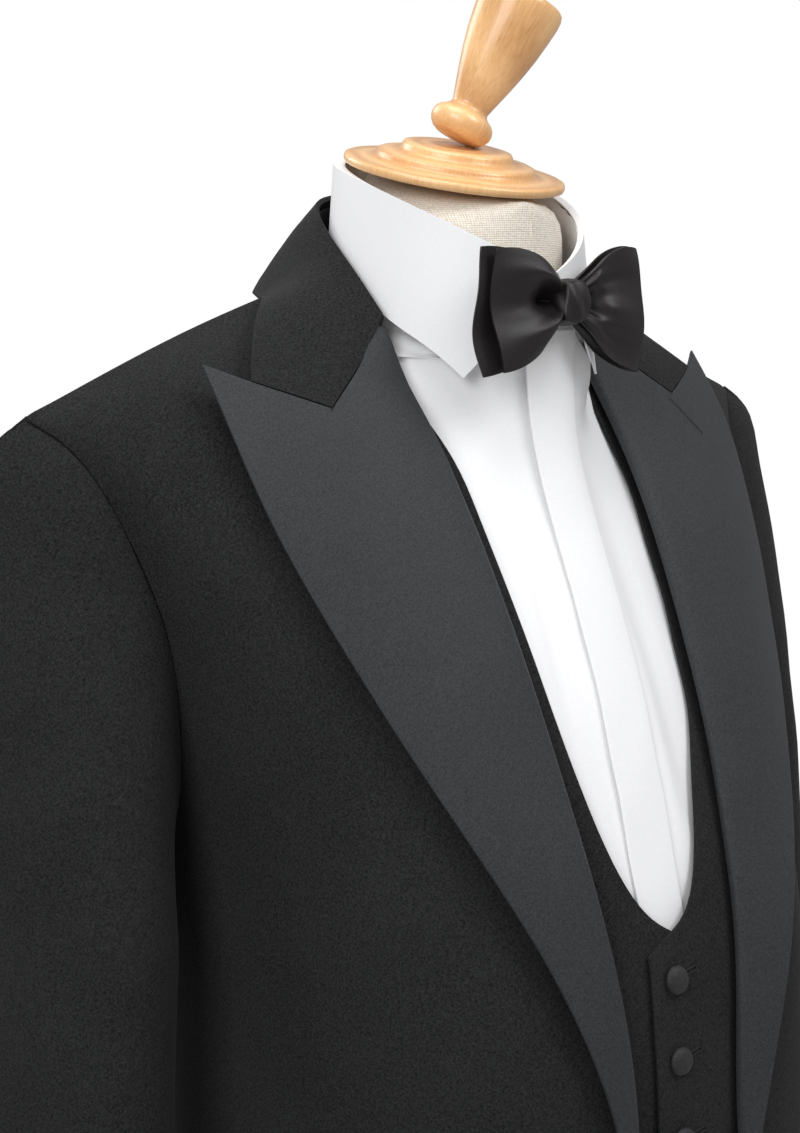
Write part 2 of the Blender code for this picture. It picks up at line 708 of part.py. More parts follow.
def jacketCollar(lapelEnd, lapelNormals):
    """The leaf from one lapel round the neck to the other, and the stand inside it."""
    columns = [k for k, s in enumerate(lapelColumns[1:]) if s <= collarNotch]
    depth = np.array([lapelColumns[1:][k] for k in columns])
    depth = (depth - depth[0]) / (depth[-1] - depth[0])
    sections, normals = [lapelEnd[columns]], [lapelNormals[columns]]
    for foldX, foldY, foldZ, leafX, lift, inFront in collarRows:
        turn = float(turnAt(leafX, lift, frontSquare if inFront else backSquare))
        turn = turn if inFront else 2 - turn
        leaf = bodyPoint(turn, lift) + bodyNormal(turn, lift) * collarFloat
        inside = np.array([foldX, foldY, foldZ])
        sections.append(inside + (leaf - inside) * depth[:, None])
    whole = mirrorRows(np.array(sections))
    normal = gridNormals(whole, whole - np.array([0.0, neckY, 1.35]))
    normal[0] = normals[0]
    normal[-1] = normals[0] * np.array([-1.0, 1.0, 1.0])
    middle = whole[1:-1] + normal[1:-1] * collarCrown * np.sin(np.pi * depth)[None, :, None]
    outer = np.concatenate([whole[:1], middle, whole[-1:]])
    towards = np.array([0.0, neckY, 0.0]) - outer[:, 0] * np.array([1.0, 1.0, 0.0])
    towards /= np.linalg.norm(towards, axis=-1, keepdims=True)
    lip = outer[:, 0] + towards * 0.0018 - np.array([0.0, 0.0, 0.0024])
    outer = np.concatenate([lip[:, None], outer], axis=1)
    crown = normal[:, :1] * 0.6 + towards[:, None] * 0.5 + np.array([0, 0, 0.4])
    walls = np.concatenate([towards[:, None], crown, normal[:, 1:]], axis=1)
    walls /= np.linalg.norm(walls, axis=-1, keepdims=True)
    inner = outer - walls * jacketWall
    closeShell("jacket_collar", pullEdges(outer, "bt"), pullEdges(inner, "bt"), "wool")
    jacketStand(whole[:, 0])


def jacketStand(fold):
    """The collar's stand, from the neck seam up into the fold of the leaf."""
    last = len(fold) // 2
    half = []
    for k in range(collarStandFrom, last + 1):
        top = fold[k] - np.array([0.0, 0.0, 0.0062])
        angle = np.pi / 2 * (k - collarStandFrom) / (last - collarStandFrom)
        foot = np.array([(neckX - 0.004) * np.cos(angle), 0.010 + backNeckY * np.sin(angle) - 0.002,
                         neckZ + 0.0012 - 0.0022 * np.sin(angle)])
        half.append(np.array([foot + (top - foot) * share for share in (0.0, 0.5, 1.0)]))
    outer = mirrorRows(np.array(half))
    normal = gridNormals(outer, outer - np.array([0.0, neckY, 1.35]))
    closeShell("jacket_collar_stand", outer, outer - normal * shirtWall, "wool")


def waistcoatLayer(turn):
    spread = easing((np.abs(turn) - 0.12) / 0.16)
    return waistcoatCentreOut + (waistcoatSideOut - waistcoatCentreOut) * spread


def waistcoatFront(edge, rise):
    """One front on the wearer's left, with its centre edge at the given x and raised there."""
    inside, outside = [], []
    for x, z, turn, side in waistcoatRows:
        inside.append(findPlace(z, x=(edge if x == waistcoatRows[0][0] else x)))
        outside.append(findPlace(side, turn=turn))
    shares = np.array([0, 0.1, 0.22, 0.38, 0.56, 0.75, 0.9, 1])
    places = between(inside, outside, shares)
    point = waistcoatPoint / (chestLine - hemLevel)
    places[0, :, 1] -= point * np.sin(np.pi * np.clip(shares / 0.75, 0, 1)) ** 1.5
    turn, lift = places[..., 0], places[..., 1]
    x = bodyPoint(turn, lift)[..., 0]
    out = waistcoatLayer(turn) + rise * (1 - easing((x - 0.013) / 0.018))
    outer = bodyPoint(turn, lift, out)
    inner = outer - bodyNormal(turn, lift, out) * waistcoatWall
    return pullEdges(outer, "rt"), pullEdges(inner, "rt")


def waistcoat():
    outer, inner = waistcoatFront(waistcoatRows[0][0], overlapRise)
    closeShell("waistcoat_front_left", outer, inner, "wool")
    outer, inner = waistcoatFront(-underEdgeX, 0.0)
    closeShell("waistcoat_front_right", mirrored(outer), mirrored(inner), "wool")
    inside = [findPlace(z, turn=turn) for _, turn, z in waistcoatBackRows]
    outside = [findPlace(z, turn=2.0) for z, _, _ in waistcoatBackRows]
    places = between(inside, outside, [0, 0.12, 0.24, 0.36, 0.47, 0.64, 0.82, 1])
    dipNeck(places, waistcoatNeckX, backNeckY + 0.004, waistcoatSideOut)
    outer = bodyPoint(places[..., 0], places[..., 1], waistcoatSideOut)
    inner = outer - bodyNormal(places[..., 0], places[..., 1], waistcoatSideOut) * waistcoatWall
    outer, inner = pullEdges(outer, "lt"), pullEdges(inner, "lt")
    outer = np.concatenate([outer, mirrored(outer)[:, 1:]], axis=1)
    inner = np.concatenate([inner, mirrored(inner)[:, 1:]], axis=1)
    closeShell("waistcoat_back", outer, inner, "wool")


def bulge(x, z):
    reach = np.clip(1 - (x / bulgeReach) ** 2, 0, 1) ** 2
    return flow(bulgeRows, 1, z) * reach


def shirtPoint(turn, lift, closer=0.0):
    """The shirt front's outer face. It stands forward at the centre, under the collar."""
    spread = easing((np.abs(turn) - 0.14) / 0.20)
    out = shirtCentreOut + (shirtSideOut - shirtCentreOut) * spread + closer
    out = out + (shirtShoulderOut - shirtSideOut) * spread * easing((np.asarray(lift) - 0.6) / 0.25)
    point = bodyPoint(turn, lift, out)
    point[..., 1] -= bulge(point[..., 0], point[..., 2]) * (np.abs(turn) < 1)
    return roundNeck(point, closer + footFlare)


def roundNeck(points, away=0.0):
    """Moves cloth near the neck out to the collar's ring, where it would lie inside it."""
    x, y = points[..., 0], points[..., 1] - ringY
    deep = np.where(y < 0, ringFront, ringBack) + away
    reach = np.maximum(np.hypot(x / (ringWide + away), y / deep), 0.05)
    push = np.maximum(easing((points[..., 2] - neckRoot) / neckRise) / reach, 1)
    return np.stack([x * push, ringY + y * push, points[..., 2]], -1)


def ringPoint(degrees, height, away=0.0):
    """Point of the shirt collar's ring, degrees round from the front."""
    angle = np.radians(degrees)
    deep = np.where(np.cos(angle) > 0, ringFront, ringBack) + away
    return np.stack([(ringWide + away) * np.sin(angle), ringY - deep * np.cos(angle),
                     height + 0 * angle], -1)


def ringFoot(degrees):
    """Points of the neck seam under the shirt collar's stand."""
    return ringPoint(degrees, flow(shirtCollarRows, 1, degrees) - seamGap, footFlare)


def shirtFront(side):
    """Outer points of the left front, or of the right one at side -1, from the same centre."""
    low = len(shirtRows)
    ring = [ringFoot(row[0]) * np.array([side, 1, 1]) for row in shirtNeckRows]
    edgeX = shirtEdgeX if side > 0 else shirtEdgeX - 2 * seamGap
    edge = [findPlace(z, x=edgeX) for z, _, _ in shirtRows]
    edge += [findPlace(float(point[2]), x=float(point[0])) for point in ring]
    inside = [findPlace(z, x=side * placketHalf) for z, _, _ in shirtRows]
    outside = [findPlace(z, turn=turn) for _, turn, z in shirtRows + shirtNeckRows]
    outside = [(side * turn, lift) for turn, lift in outside]
    inside += [(a[0] * 0.94 + b[0] * 0.06, a[1] * 0.94 + b[1] * 0.06)
               for a, b in zip(edge[low:], outside[low:])]
    places = between(inside, outside, shirtColumns)
    places = np.concatenate([np.array(edge)[:, None], places], axis=1)
    outer = shirtPoint(places[..., 0], places[..., 1])
    outer[low:, 0] = ring
    return outer


def shirtShell(name, outer, onRidge):
    """A closed wall with its shoulder seams square to the cloth, in the columns on the ridge."""
    normal = gridNormals(outer, outer - np.array([0, 0.0, 1.1]))
    normal[-1, onRidge, 0] += 0.05 * np.sign(outer[-1, onRidge, 0])
    normal[-1, onRidge, 1] = 0.0
    normal /= np.linalg.norm(normal, axis=-1, keepdims=True)
    walls = [pullEdges(grid, "lr", seamGap) for grid in (outer, outer - normal * shirtWall)]
    closeShell(name, *[pullEdges(grid, "t", shoulderSeamGap) for grid in walls], "cotton")


def shirt():
    left = shirtFront(1)
    across = left.shape[1]
    shirtShell("shirt_front_left", left, list(range(across)))
    shirtShell("shirt_front_right", shirtFront(-1), list(range(across)))
    inside = [findPlace(z, turn=turn) for _, turn, z in shirtBackRows]
    outside = [findPlace(z, turn=2.0) for z, _, _ in shirtBackRows]
    places = between(inside, outside, shirtBackColumns)
    half = shirtPoint(places[..., 0], places[..., 1])
    top = np.concatenate([left[-1, ::-1], ringFoot(np.array(backRingDegrees))])
    half = np.concatenate([half, top[None]])
    whole = np.concatenate([half, mirrored(half)[:, 1:]], axis=1)
    shirtShell("shirt_back", whole, list(range(across)) + list(range(-across, 0)))
    across = (-placketHalf, shirtEdgeX, placketHalf)
    places = np.array([[findPlace(z, x=x) for x in across] for z, _, _ in shirtRows])
    outer = shirtPoint(places[..., 0], places[..., 1], placketOut - shirtCentreOut)
    outer[..., 1] -= placketRise * easing((outer[..., 2] - placketLift) / 0.03)
    closeShell("shirt_placket", outer, outer + np.array([0, shirtWall, 0]), "cotton")


def shirtCollar():
    degrees = np.linspace(3.0, 357.0, 29)
    around = np.minimum(degrees, 360 - degrees)
    side = np.where(degrees < 180, 1.0, -1.0)
    rows = []
    for share in (0.0, 1.0):
        low, fold = flow(shirtCollarRows, 1, around), flow(shirtCollarRows, 2, around) - 0.0035
        rows.append([low + (fold - low) * share, footFlare * (1 - share)])
    outer = np.array([ringPoint(around, height, flare + shirtWall) for height, flare in rows])
    inner = np.array([ringPoint(around, height, flare) for height, flare in rows])
    outer[..., 0] *= side
    inner[..., 0] *= side
    closeShell("shirt_collar_stand", outer, inner, "cotton")
    drops = [0.0, 0.25, 0.5, 0.75, 1.0]
    half, walls = [], []
    for share in np.linspace(0, 1, 13) ** 1.15:
        line, normals = [], []
        for drop in drops:
            start = leafStart + (leafTip - leafStart) * drop
            at = start + (180 - start) * share
            fold, leaf = flow(shirtCollarRows, 2, at), flow(shirtCollarRows, 3, at)
            rise = leafRise + shirtWall + backRise * float(easing((at - 75) / 50))
            line.append(ringPoint(at, fold + (leaf - fold) * drop, rise + leafFlare * drop))
            radial = line[-1] - np.array([0.0, ringY, line[-1][2]])
            normals.append(radial / np.linalg.norm(radial))
            if drop == 0:
                over = line[0] - normals[0] * (rise - 0.0004) - np.array([0, 0, 0.0004])
        line = [over, line[0] + np.array([0, 0, 0.0008])] + line[1:]
        crown = [-normals[0] * 0.2 + np.array([0, 0, 1.0]), normals[0] + np.array([0, 0, 0.8])]
        normals = crown + normals[1:]
        half.append(line)
        walls.append([normal / np.linalg.norm(normal) for normal in normals])
    outer, walls = mirrorRows(np.array(half)), mirrorRows(np.array(walls))
    closeShell("shirt_collar", outer, outer - walls * shirtWall, "cotton")


def turned(name, profile, materialName, matrix=None, steps=28):
    """A turned piece. The profile is radius and height from the top down its outer side."""
    mesh = bpy.data.meshes.new(name)
    points = [(radius, 0.0, height) for radius, height in profile]
    mesh.from_pydata(points, [(k, k + 1) for k in range(len(points) - 1)], [])
    thing = addObject(name, mesh, materialName)
    screw = thing.modifiers.new("turn", "SCREW")
    screw.steps = steps
    screw.render_steps = steps
    screw.use_merge_vertices = True
    screw.merge_threshold = 0.00005
    screw.use_smooth_shade = True
    if matrix is not None:
        thing.matrix_world = matrix
    return thing


def button(name, radius, height, place, out, materialName):
    """A covered button: a low dome that lies on a front at a place of its own."""
    turn, lift = place
    seat = bodyPoint(turn, lift, out)
    normal = bodyNormal(turn, lift, out)
    tilt = Vector((0, 0, 1)).rotation_difference(Vector(normal)).to_matrix().to_4x4()
    profile = [(0.0, height), (radius * 0.45, height * 0.93), (radius * 0.80, height * 0.68),
               (radius, height * 0.36), (radius * 0.80, seamGap), (0.0, seamGap)]
    turned(name, profile, materialName, Matrix.Translation(Vector(seat)) @ tilt, 14)


def buttons():
    for k, height in enumerate(waistcoatButtonHeights):
        place = findPlace(height, x=waistcoatButtonX)
        button("waistcoat_button_%d" % (k + 1), waistcoatButtonRadius, 0.0046, place,
               waistcoatCentreOut + overlapRise, "covered")
    turn, lift = findPlace(jacketButtonPlace[1], x=jacketButtonPlace[0])
    button("jacket_button", jacketButtonRadius, 0.0055, (-turn, lift), 0.0, "covered")


def bowWing(name, side, behind, size):
    across = np.linspace(-1, 1, 9)
    rows = []
    for share in (0.0, 0.2, 0.45, 0.7, 0.88, 1.0):
        x, half, middle, fold = [float(flow(bowRows, k, share)) for k in range(1, 5)]
        row = []
        for v in across:
            y = bowY + behind - fold * np.cos(3 * np.pi * v) - wingForward * np.sin(np.pi * share)
            corner = 1 - 0.05 * share * abs(v) ** 3
            row.append((side * (0.0084 + (x - 0.0084) * size * corner), y,
                        bowZ + (middle + half * v) * (1 + (size - 1) * 0.4)))
        rows.append(row)
    outer = np.array(rows)
    inner = outer + np.array([0, bowCloth, 0])
    closeShell(name, outer, inner, "satin")


def bow():
    mesh = bpy.data.meshes.new("bow_knot")
    work = bmesh.new()
    bmesh.ops.create_cube(work, size=2.0, matrix=Matrix.Diagonal((*bowKnot, 1.0)))
    bmesh.ops.bevel(work, geom=work.edges[:], offset=0.0030, segments=2, affect="EDGES")
    work.to_mesh(mesh)
    work.free()
    knot = addObject("bow_knot", mesh, "satin")
    knot.location = (0.0, bowY, bowZ)
    for layer, (behind, size) in bowLayers.items():
        for sideName, side in (("left", 1.0), ("right", -1.0)):
            bowWing("bow_wing_%s_%s" % (layer, sideName), side, behind, size)


def formTorso():
    """The padded body with its neck, as rings that are the wider of a body and a neck section."""
    angles = np.linspace(0, 2 * np.pi, 29)[:-1]
    rings = []
    for height in formHeights:
        wide, front, back = [float(flow(formRows, k, height)) for k in (1, 2, 3)]
        ahead, aside = np.cos(angles), np.sin(angles)
        deep = np.where(ahead > 0, -front + neckY, back - neckY)
        body = (np.abs(aside / wide) ** 2.3 + np.abs(ahead / deep) ** 2.3) ** (-1 / 2.3)
        neck = neckFoot + (neckRadius - neckFoot) * easing((height - neckFootEnd) / neckWiden)
        neck *= easing((height - neckRoot) / neckRise)
        reach = (body ** 8 + neck ** 8) ** (1 / 8) if height < neckTop - 0.05 else body * 0 + neckRadius
        rings.append(np.stack([reach * aside, neckY - reach * ahead, height + 0 * angles], -1))
    slant = np.tan(np.radians(capTilt))
    last = rings[-1].copy()
    last[:, 2] = neckTop + (last[:, 1] - neckY) * slant
    rings.append(last)
    points = np.array(rings)
    count = len(angles)
    mesh = bpy.data.meshes.new("form_torso")
    faces = [tuple(range(count))[::-1]]
    for i in range(len(points) - 1):
        for j in range(count):
            k = (j + 1) % count
            faces.append((i * count + j, i * count + k, (i + 1) * count + k, (i + 1) * count + j))
    faces.append(tuple((len(points) - 1) * count + j for j in range(count)))
    mesh.from_pydata(points.reshape(-1, 3).tolist(), [], faces)
    work = bmesh.new()
    work.from_mesh(mesh)
    bmesh.ops.recalc_face_normals(work, faces=work.faces)
    bmesh.ops.triangulate(work, faces=work.faces)
    work.to_mesh(mesh)
    work.free()
    addObject("form_torso", mesh, "linen")


def neckCap():
    """The stepped cap on the slanted neck, and the knob that leans on its ball."""
    tilt = Matrix.Translation((0.0, neckY, neckTop)) @ Matrix.Rotation(np.radians(capTilt), 4, "X")
    profile = [(0.0, 0.0165), (0.0270, 0.0165), (0.0295, 0.0155), (0.0300, 0.0140),
               (0.0315, 0.0118), (0.0350, 0.0108), (0.0415, 0.0105), (0.0430, 0.0092),
               (0.0445, 0.0068), (0.0490, 0.0058), (0.0585, 0.0054), (capRadius, 0.0042),
               (capRadius, 0.0016), (0.0590, 0.0004), (0.0, 0.0004)]
    turned("neck_cap", profile, "beech", tilt, 28)
    seat = Matrix.Translation((-0.0035, 0.0, 0.0204))
    lean = tilt @ seat @ Matrix.Rotation(np.radians(knobLean), 4, "Y")
    knob = [(0.0, 0.0840), (0.0205, 0.0840), (0.0228, 0.0825), (0.0236, 0.0780), (0.0205, 0.0560),
            (0.0160, 0.0380), (0.0120, 0.0240), (0.0104, 0.0185), (0.0115, 0.0160),
            (0.0158, 0.0132), (0.0175, 0.0088), (0.0158, 0.0040), (0.0105, 0.0008), (0.0, 0.0)]
    turned("neck_knob", knob, "beech", lean, 20)


def stand():
    bottom = formHeights[0]
    turned("stand_pole", [(0.0, bottom - seamGap), (0.040, bottom - seamGap), (0.042, bottom - 0.006),
                          (0.040, bottom - 0.012), (0.020, bottom - 0.016), (poleRadius, bottom - 0.024),
                          (poleRadius, 0.060), (0.022, 0.050), (0.026, 0.040), (0.026, 0.0303),
                          (0.0, 0.0303)], "beech", None, 24)
    turned("stand_base", [(0.0, 0.030), (0.060, 0.030), (0.085, 0.026), (0.150, 0.022),
                          (0.168, 0.019), (baseRadius, 0.013), (baseRadius, 0.006),
                          (0.171, 0.0), (0.0, 0.0)], "beech", None, 40)


def build():
    makePair("jacket_front", *jacketFront(), "wool")
    makePair("jacket_side", *jacketSide(), "wool")
    makePair("jacket_back", *jacketBack(), "wool")
    sleeves()
    jacketCollar(*lapels())
    waistcoat()
    shirt()
    shirtCollar()
    buttons()
    bow()
    formTorso()
    neckCap()
    stand()


clearScene()
partCollection = bpy.data.collections.new("tuxedo_on_form")
bpy.context.scene.collection.children.link(partCollection)
build()
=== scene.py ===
import bmesh
import bpy
import numpy as np
from mathutils import Matrix, Vector, noise
from mathutils.bvhtree import BVHTree


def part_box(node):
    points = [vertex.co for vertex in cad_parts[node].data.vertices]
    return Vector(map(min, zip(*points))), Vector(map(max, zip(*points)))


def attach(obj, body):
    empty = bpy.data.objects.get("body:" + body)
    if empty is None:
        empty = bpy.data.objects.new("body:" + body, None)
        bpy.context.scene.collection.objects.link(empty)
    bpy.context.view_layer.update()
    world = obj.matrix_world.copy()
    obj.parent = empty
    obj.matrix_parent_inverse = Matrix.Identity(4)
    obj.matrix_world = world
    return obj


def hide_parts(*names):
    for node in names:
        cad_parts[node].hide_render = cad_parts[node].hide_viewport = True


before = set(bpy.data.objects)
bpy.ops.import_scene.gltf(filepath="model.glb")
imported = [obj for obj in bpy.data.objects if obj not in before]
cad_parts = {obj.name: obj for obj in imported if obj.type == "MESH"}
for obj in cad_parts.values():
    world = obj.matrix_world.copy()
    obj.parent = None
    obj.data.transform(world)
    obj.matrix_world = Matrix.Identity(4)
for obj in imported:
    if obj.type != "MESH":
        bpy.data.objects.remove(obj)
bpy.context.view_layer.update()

# A tuxedo on its dress form. Each sewn piece is refined from its solid in the frame, with
# rounded edges, soft folds and a woven finish. The bow, the turned wood, the buttons and
# the handwork are made here on top of it.
made = {}  # the pieces by name, for what is sewn on them


# The photograph's camera, solved from the part: degrees, metres and pixels, the film in mm

camera = {"azimuth": -38.865, "pitch": 4.519, "roll": -2.006, "place": (-0.845, -1.020, 1.437),
          "focal": 2400.0, "width": 800, "height": 1133, "film": 36, "near": 0.05}


def cameraAxes():
    az, pitch, roll = np.radians([camera["azimuth"], camera["pitch"], camera["roll"]])
    ahead = np.array([-np.sin(az) * np.cos(pitch), np.cos(az) * np.cos(pitch), -np.sin(pitch)])
    level = np.cross(ahead, [0, 0, 1])
    level /= np.linalg.norm(level)
    up = np.cross(level, ahead)
    right = np.cos(roll) * level + np.sin(roll) * up
    return right, np.cos(roll) * up - np.sin(roll) * level, ahead


def makeCamera():
    right, up, ahead = cameraAxes()
    eye = bpy.data.cameras.new("camera")
    eye.sensor_width = camera["film"]
    eye.lens = camera["focal"] / camera["height"] * camera["film"]
    eye.clip_start = camera["near"]
    thing = bpy.data.objects.new("camera", eye)
    bpy.context.scene.collection.objects.link(thing)
    x, y, z = camera["place"]
    thing.matrix_world = Matrix(((right[0], up[0], -ahead[0], x), (right[1], up[1], -ahead[1], y),
                                 (right[2], up[2], -ahead[2], z), (0, 0, 0, 1)))
    bpy.context.scene.camera = thing
    print("camera done")


def throughPixel(piece, pixel):  # where the view through a photo pixel meets a piece
    right, up, ahead = cameraAxes()
    column, row = pixel
    ray = ahead + right * (column - camera["width"] / 2) / camera["focal"]
    ray -= up * (row - camera["height"] / 2) / camera["focal"]
    return surfaceOf(piece).ray_cast(Vector(camera["place"]), Vector(ray).normalized())[0]


# Finishes. Each dictionary holds a cloth's colours and the size of its weave in metres

wool = {"dark": (0.0060, 0.0062, 0.0065), "light": (0.0270, 0.0275, 0.0285), "rough": 0.92,
        "specular": 0.12, "thread": 0.00055, "fleck": 0.0011, "relief": 0.00010, "strength": 0.55,
        "sheen": 0.03, "turn": 0.7, "coarse": False}
facing = {"dark": (0.0140, 0.0147, 0.0165), "light": (0.0370, 0.0385, 0.0430), "rough": 0.62,
          "specular": 0.25, "thread": 0.00050, "fleck": 0.0010, "relief": 0.00006, "strength": 0.45,
          "sheen": 0.05, "turn": 0.9, "coarse": False}
satin = {"dark": (0.0040, 0.0026, 0.0027), "light": (0.0125, 0.0090, 0.0102), "rough": 0.45,
         "specular": 0.38, "thread": 0.00045, "fleck": 0.0009, "relief": 0.00004, "strength": 0.45,
         "sheen": 0.02, "turn": 0.4, "coarse": False}
cotton = {"dark": (0.805, 0.810, 0.825), "light": (0.855, 0.855, 0.865), "rough": 0.85,
          "specular": 0.20, "thread": 0.00045, "fleck": 0.0009, "relief": 0.00003, "strength": 0.20,
          "sheen": 0.0, "turn": 0.0, "coarse": False}
linen = {"dark": (0.62, 0.55, 0.46), "light": (0.94, 0.89, 0.81), "rough": 0.95,
         "span": (0.25, 0.75), "specular": 0.10, "thread": 0.00115, "fleck": 0.0018,
         "relief": 0.00025, "strength": 0.60, "sheen": 0.0, "turn": 0.0, "coarse": True}
covered = {"dark": (0.010, 0.010, 0.0108), "light": (0.028, 0.028, 0.031), "rough": 0.60,
           "specular": 0.30, "thread": 0.00042, "fleck": 0.0009, "relief": 0.00008,
           "strength": 0.50, "sheen": 0.05, "turn": 0.8, "coarse": False}
thread = {"dark": (0.008, 0.008, 0.009), "light": (0.020, 0.020, 0.022), "rough": 0.60,
          "specular": 0.25, "thread": 0.00040, "fleck": 0.0006, "relief": 0.00010, "strength": 0.60,
          "sheen": 0.0, "turn": 0.5, "coarse": False}
beech = {"dark": (0.52, 0.235, 0.075), "light": (0.90, 0.555, 0.26), "span": (0.05, 0.80),
         "rough": 0.34, "uneven": 0.18, "coat": 0.35, "coatRough": 0.16, "rings": 0.011,
         "fleck": 0.0012, "turn": (0.12, 0.08, 0), "ringStretch": 0.16, "grainStretch": 0.06,
         "ringShare": 0.35, "fleckShare": 0.65, "relief": 0.0003, "strength": 0.10}
# Shared by all cloths: the shares of threads and flecks, where the two colours begin and end,
# the scale and strength of broad blotches, the stretch of a slub, and the reach of the relief
weaving = {"threads": 0.45, "flecks": 0.55, "span": (0.37, 0.63), "blotches": 14.0,
           "unevenness": 0.14, "slub": 0.12, "reach": 4, "sheenRough": 0.45}
waveLength = 0.314  # of Blender's wave texture at scale 1, in metres


def nodeTree(name):
    material = bpy.data.materials.new(name)
    material.use_nodes = True
    return material, material.node_tree, material.node_tree.nodes["Principled BSDF"]


def addNode(tree, kind, settings=None, **values):
    node = tree.nodes.new(kind)
    for key, value in (settings or {}).items():
        setattr(node, key, value)
    for key, value in values.items():
        node.inputs[key].default_value = value
    return node


def coordinates(tree, turn=(0, 0, 0), stretch=(1, 1, 1)):
    place = addNode(tree, "ShaderNodeTexCoord")
    mapping = addNode(tree, "ShaderNodeMapping", Rotation=turn, Scale=stretch)
    tree.links.new(place.outputs["Object"], mapping.inputs["Vector"])
    return mapping.outputs["Vector"]


def threads(tree, vector, look, axis):  # ridges of thread across one axis
    if look["coarse"]:
        wave = addNode(tree, "ShaderNodeTexWave", {"bands_direction": axis},
                       Scale=waveLength / look["thread"], Distortion=1.2, Detail=1.0)
        wave.inputs["Detail Scale"].default_value = 2.0
        tree.links.new(vector, wave.inputs["Vector"])
        return wave.outputs["Fac"]
    stretch = (1, 1, weaving["slub"]) if axis == "X" else (weaving["slub"], 1, 1)
    slub = addNode(tree, "ShaderNodeMapping", Scale=stretch)
    tree.links.new(vector, slub.inputs["Vector"])
    return blotch(tree, slub.outputs["Vector"], 1 / look["thread"], 2.0)


def combine(tree, operation, first, second):
    node = addNode(tree, "ShaderNodeMath", {"operation": operation})
    for socket, value in zip(node.inputs, (first, second)):
        if isinstance(value, float):
            socket.default_value = value
        else:
            tree.links.new(value, socket)
    return node.outputs["Value"]


def blotch(tree, vector, scale, detail=3.0):
    node = addNode(tree, "ShaderNodeTexNoise", Scale=scale, Detail=detail)
    tree.links.new(vector, node.inputs["Vector"])
    return node.outputs["Fac"]


def mixColours(tree, share, dark, light, start, end):
    ramp = tree.nodes.new("ShaderNodeValToRGB")
    ramp.color_ramp.elements[0].color = (*dark, 1)
    ramp.color_ramp.elements[1].color = (*light, 1)
    ramp.color_ramp.elements[0].position = start
    ramp.color_ramp.elements[1].position = end
    tree.links.new(share, ramp.inputs["Fac"])
    return ramp.outputs["Color"]


def clothFinish(name, look):
    material, tree, shader = nodeTree(name)
    vector = coordinates(tree, (0, look["turn"], 0))
    warp = threads(tree, vector, look, "X")
    weft = threads(tree, vector, look, "Z")
    weave = combine(tree, "MULTIPLY", combine(tree, "ADD", warp, weft), 0.5)
    fleck = blotch(tree, vector, 1.0 / look["fleck"])
    weave = combine(tree, "ADD", combine(tree, "MULTIPLY", weave, weaving["threads"]),
                    combine(tree, "MULTIPLY", fleck, weaving["flecks"]))
    broad = combine(tree, "SUBTRACT", blotch(tree, vector, weaving["blotches"]), 0.5)
    share = combine(tree, "ADD", weave, combine(tree, "MULTIPLY", broad, weaving["unevenness"]))
    span = look.get("span", weaving["span"])
    colour = mixColours(tree, share, look["dark"], look["light"], *span)
    tree.links.new(colour, shader.inputs["Base Color"])
    bump = addNode(tree, "ShaderNodeBump", Strength=look["strength"],
                   Distance=look["relief"] * weaving["reach"])
    tree.links.new(weave, bump.inputs["Height"])
    tree.links.new(bump.outputs["Normal"], shader.inputs["Normal"])
    shader.inputs["Roughness"].default_value = look["rough"]
    shader.inputs["Sheen Weight"].default_value = look["sheen"]
    shader.inputs["Sheen Roughness"].default_value = weaving["sheenRough"]
    shader.inputs["Specular IOR Level"].default_value = look["specular"]
    return material


def woodFinish(name, look):
    material, tree, shader = nodeTree(name)
    vector = coordinates(tree, look["turn"], (1, 1, look["ringStretch"]))
    rings = addNode(tree, "ShaderNodeTexWave", {"wave_type": "RINGS", "rings_direction": "Z"},
                    Scale=waveLength / look["rings"], Distortion=3.5, Detail=3.0)
    tree.links.new(vector, rings.inputs["Vector"])
    grain = coordinates(tree, (0, 0, 0), (1, 1, look["grainStretch"]))
    fleck = blotch(tree, grain, 1.0 / look["fleck"], 4.0)
    share = combine(tree, "ADD", combine(tree, "MULTIPLY", rings.outputs["Fac"], look["ringShare"]),
                    combine(tree, "MULTIPLY", fleck, look["fleckShare"]))
    colour = mixColours(tree, share, look["dark"], look["light"], *look["span"])
    tree.links.new(colour, shader.inputs["Base Color"])
    bump = addNode(tree, "ShaderNodeBump", Strength=look["strength"], Distance=look["relief"])
    tree.links.new(fleck, bump.inputs["Height"])
    tree.links.new(bump.outputs["Normal"], shader.inputs["Normal"])
    rough = combine(tree, "ADD", combine(tree, "MULTIPLY", fleck, look["uneven"]),
                    look["rough"] - look["uneven"] / 2)
    tree.links.new(rough, shader.inputs["Roughness"])
    shader.inputs["Coat Weight"].default_value = look["coat"]
    shader.inputs["Coat Roughness"].default_value = look["coatRough"]
    return material


cloths = {"wool": ("wool cloth", wool), "lapelFacing": ("lapel facing", facing),
          "satin": ("bow satin", satin), "cotton": ("shirt cotton", cotton),
          "linen": ("form linen", linen), "covered": ("button cloth", covered),
          "thread": ("buttonhole thread", thread)}
finishes = {slot: clothFinish(*cloth) for slot, cloth in cloths.items()}
finishes["beech"] = woodFinish("varnished beech", beech)
print("finishes done")


# Mesh helpers. A solid's points are joined where they are this near, in metres, and its
# triangles where they are this flat, in radians. Edges that turn by more degrees than sharp
# are rounded.

refining = {"near": 0.00001, "flat": 1.2, "shape": 3.1, "sharp": 50, "levels": 2}
foldFade = {"least": 0.35, "ends": 0.08}  # how a fold dies away towards its ends


def surfaceOf(piece):
    data = piece.data
    return BVHTree.FromPolygons([v.co[:] for v in data.vertices],
                                [p.vertices[:] for p in data.polygons])


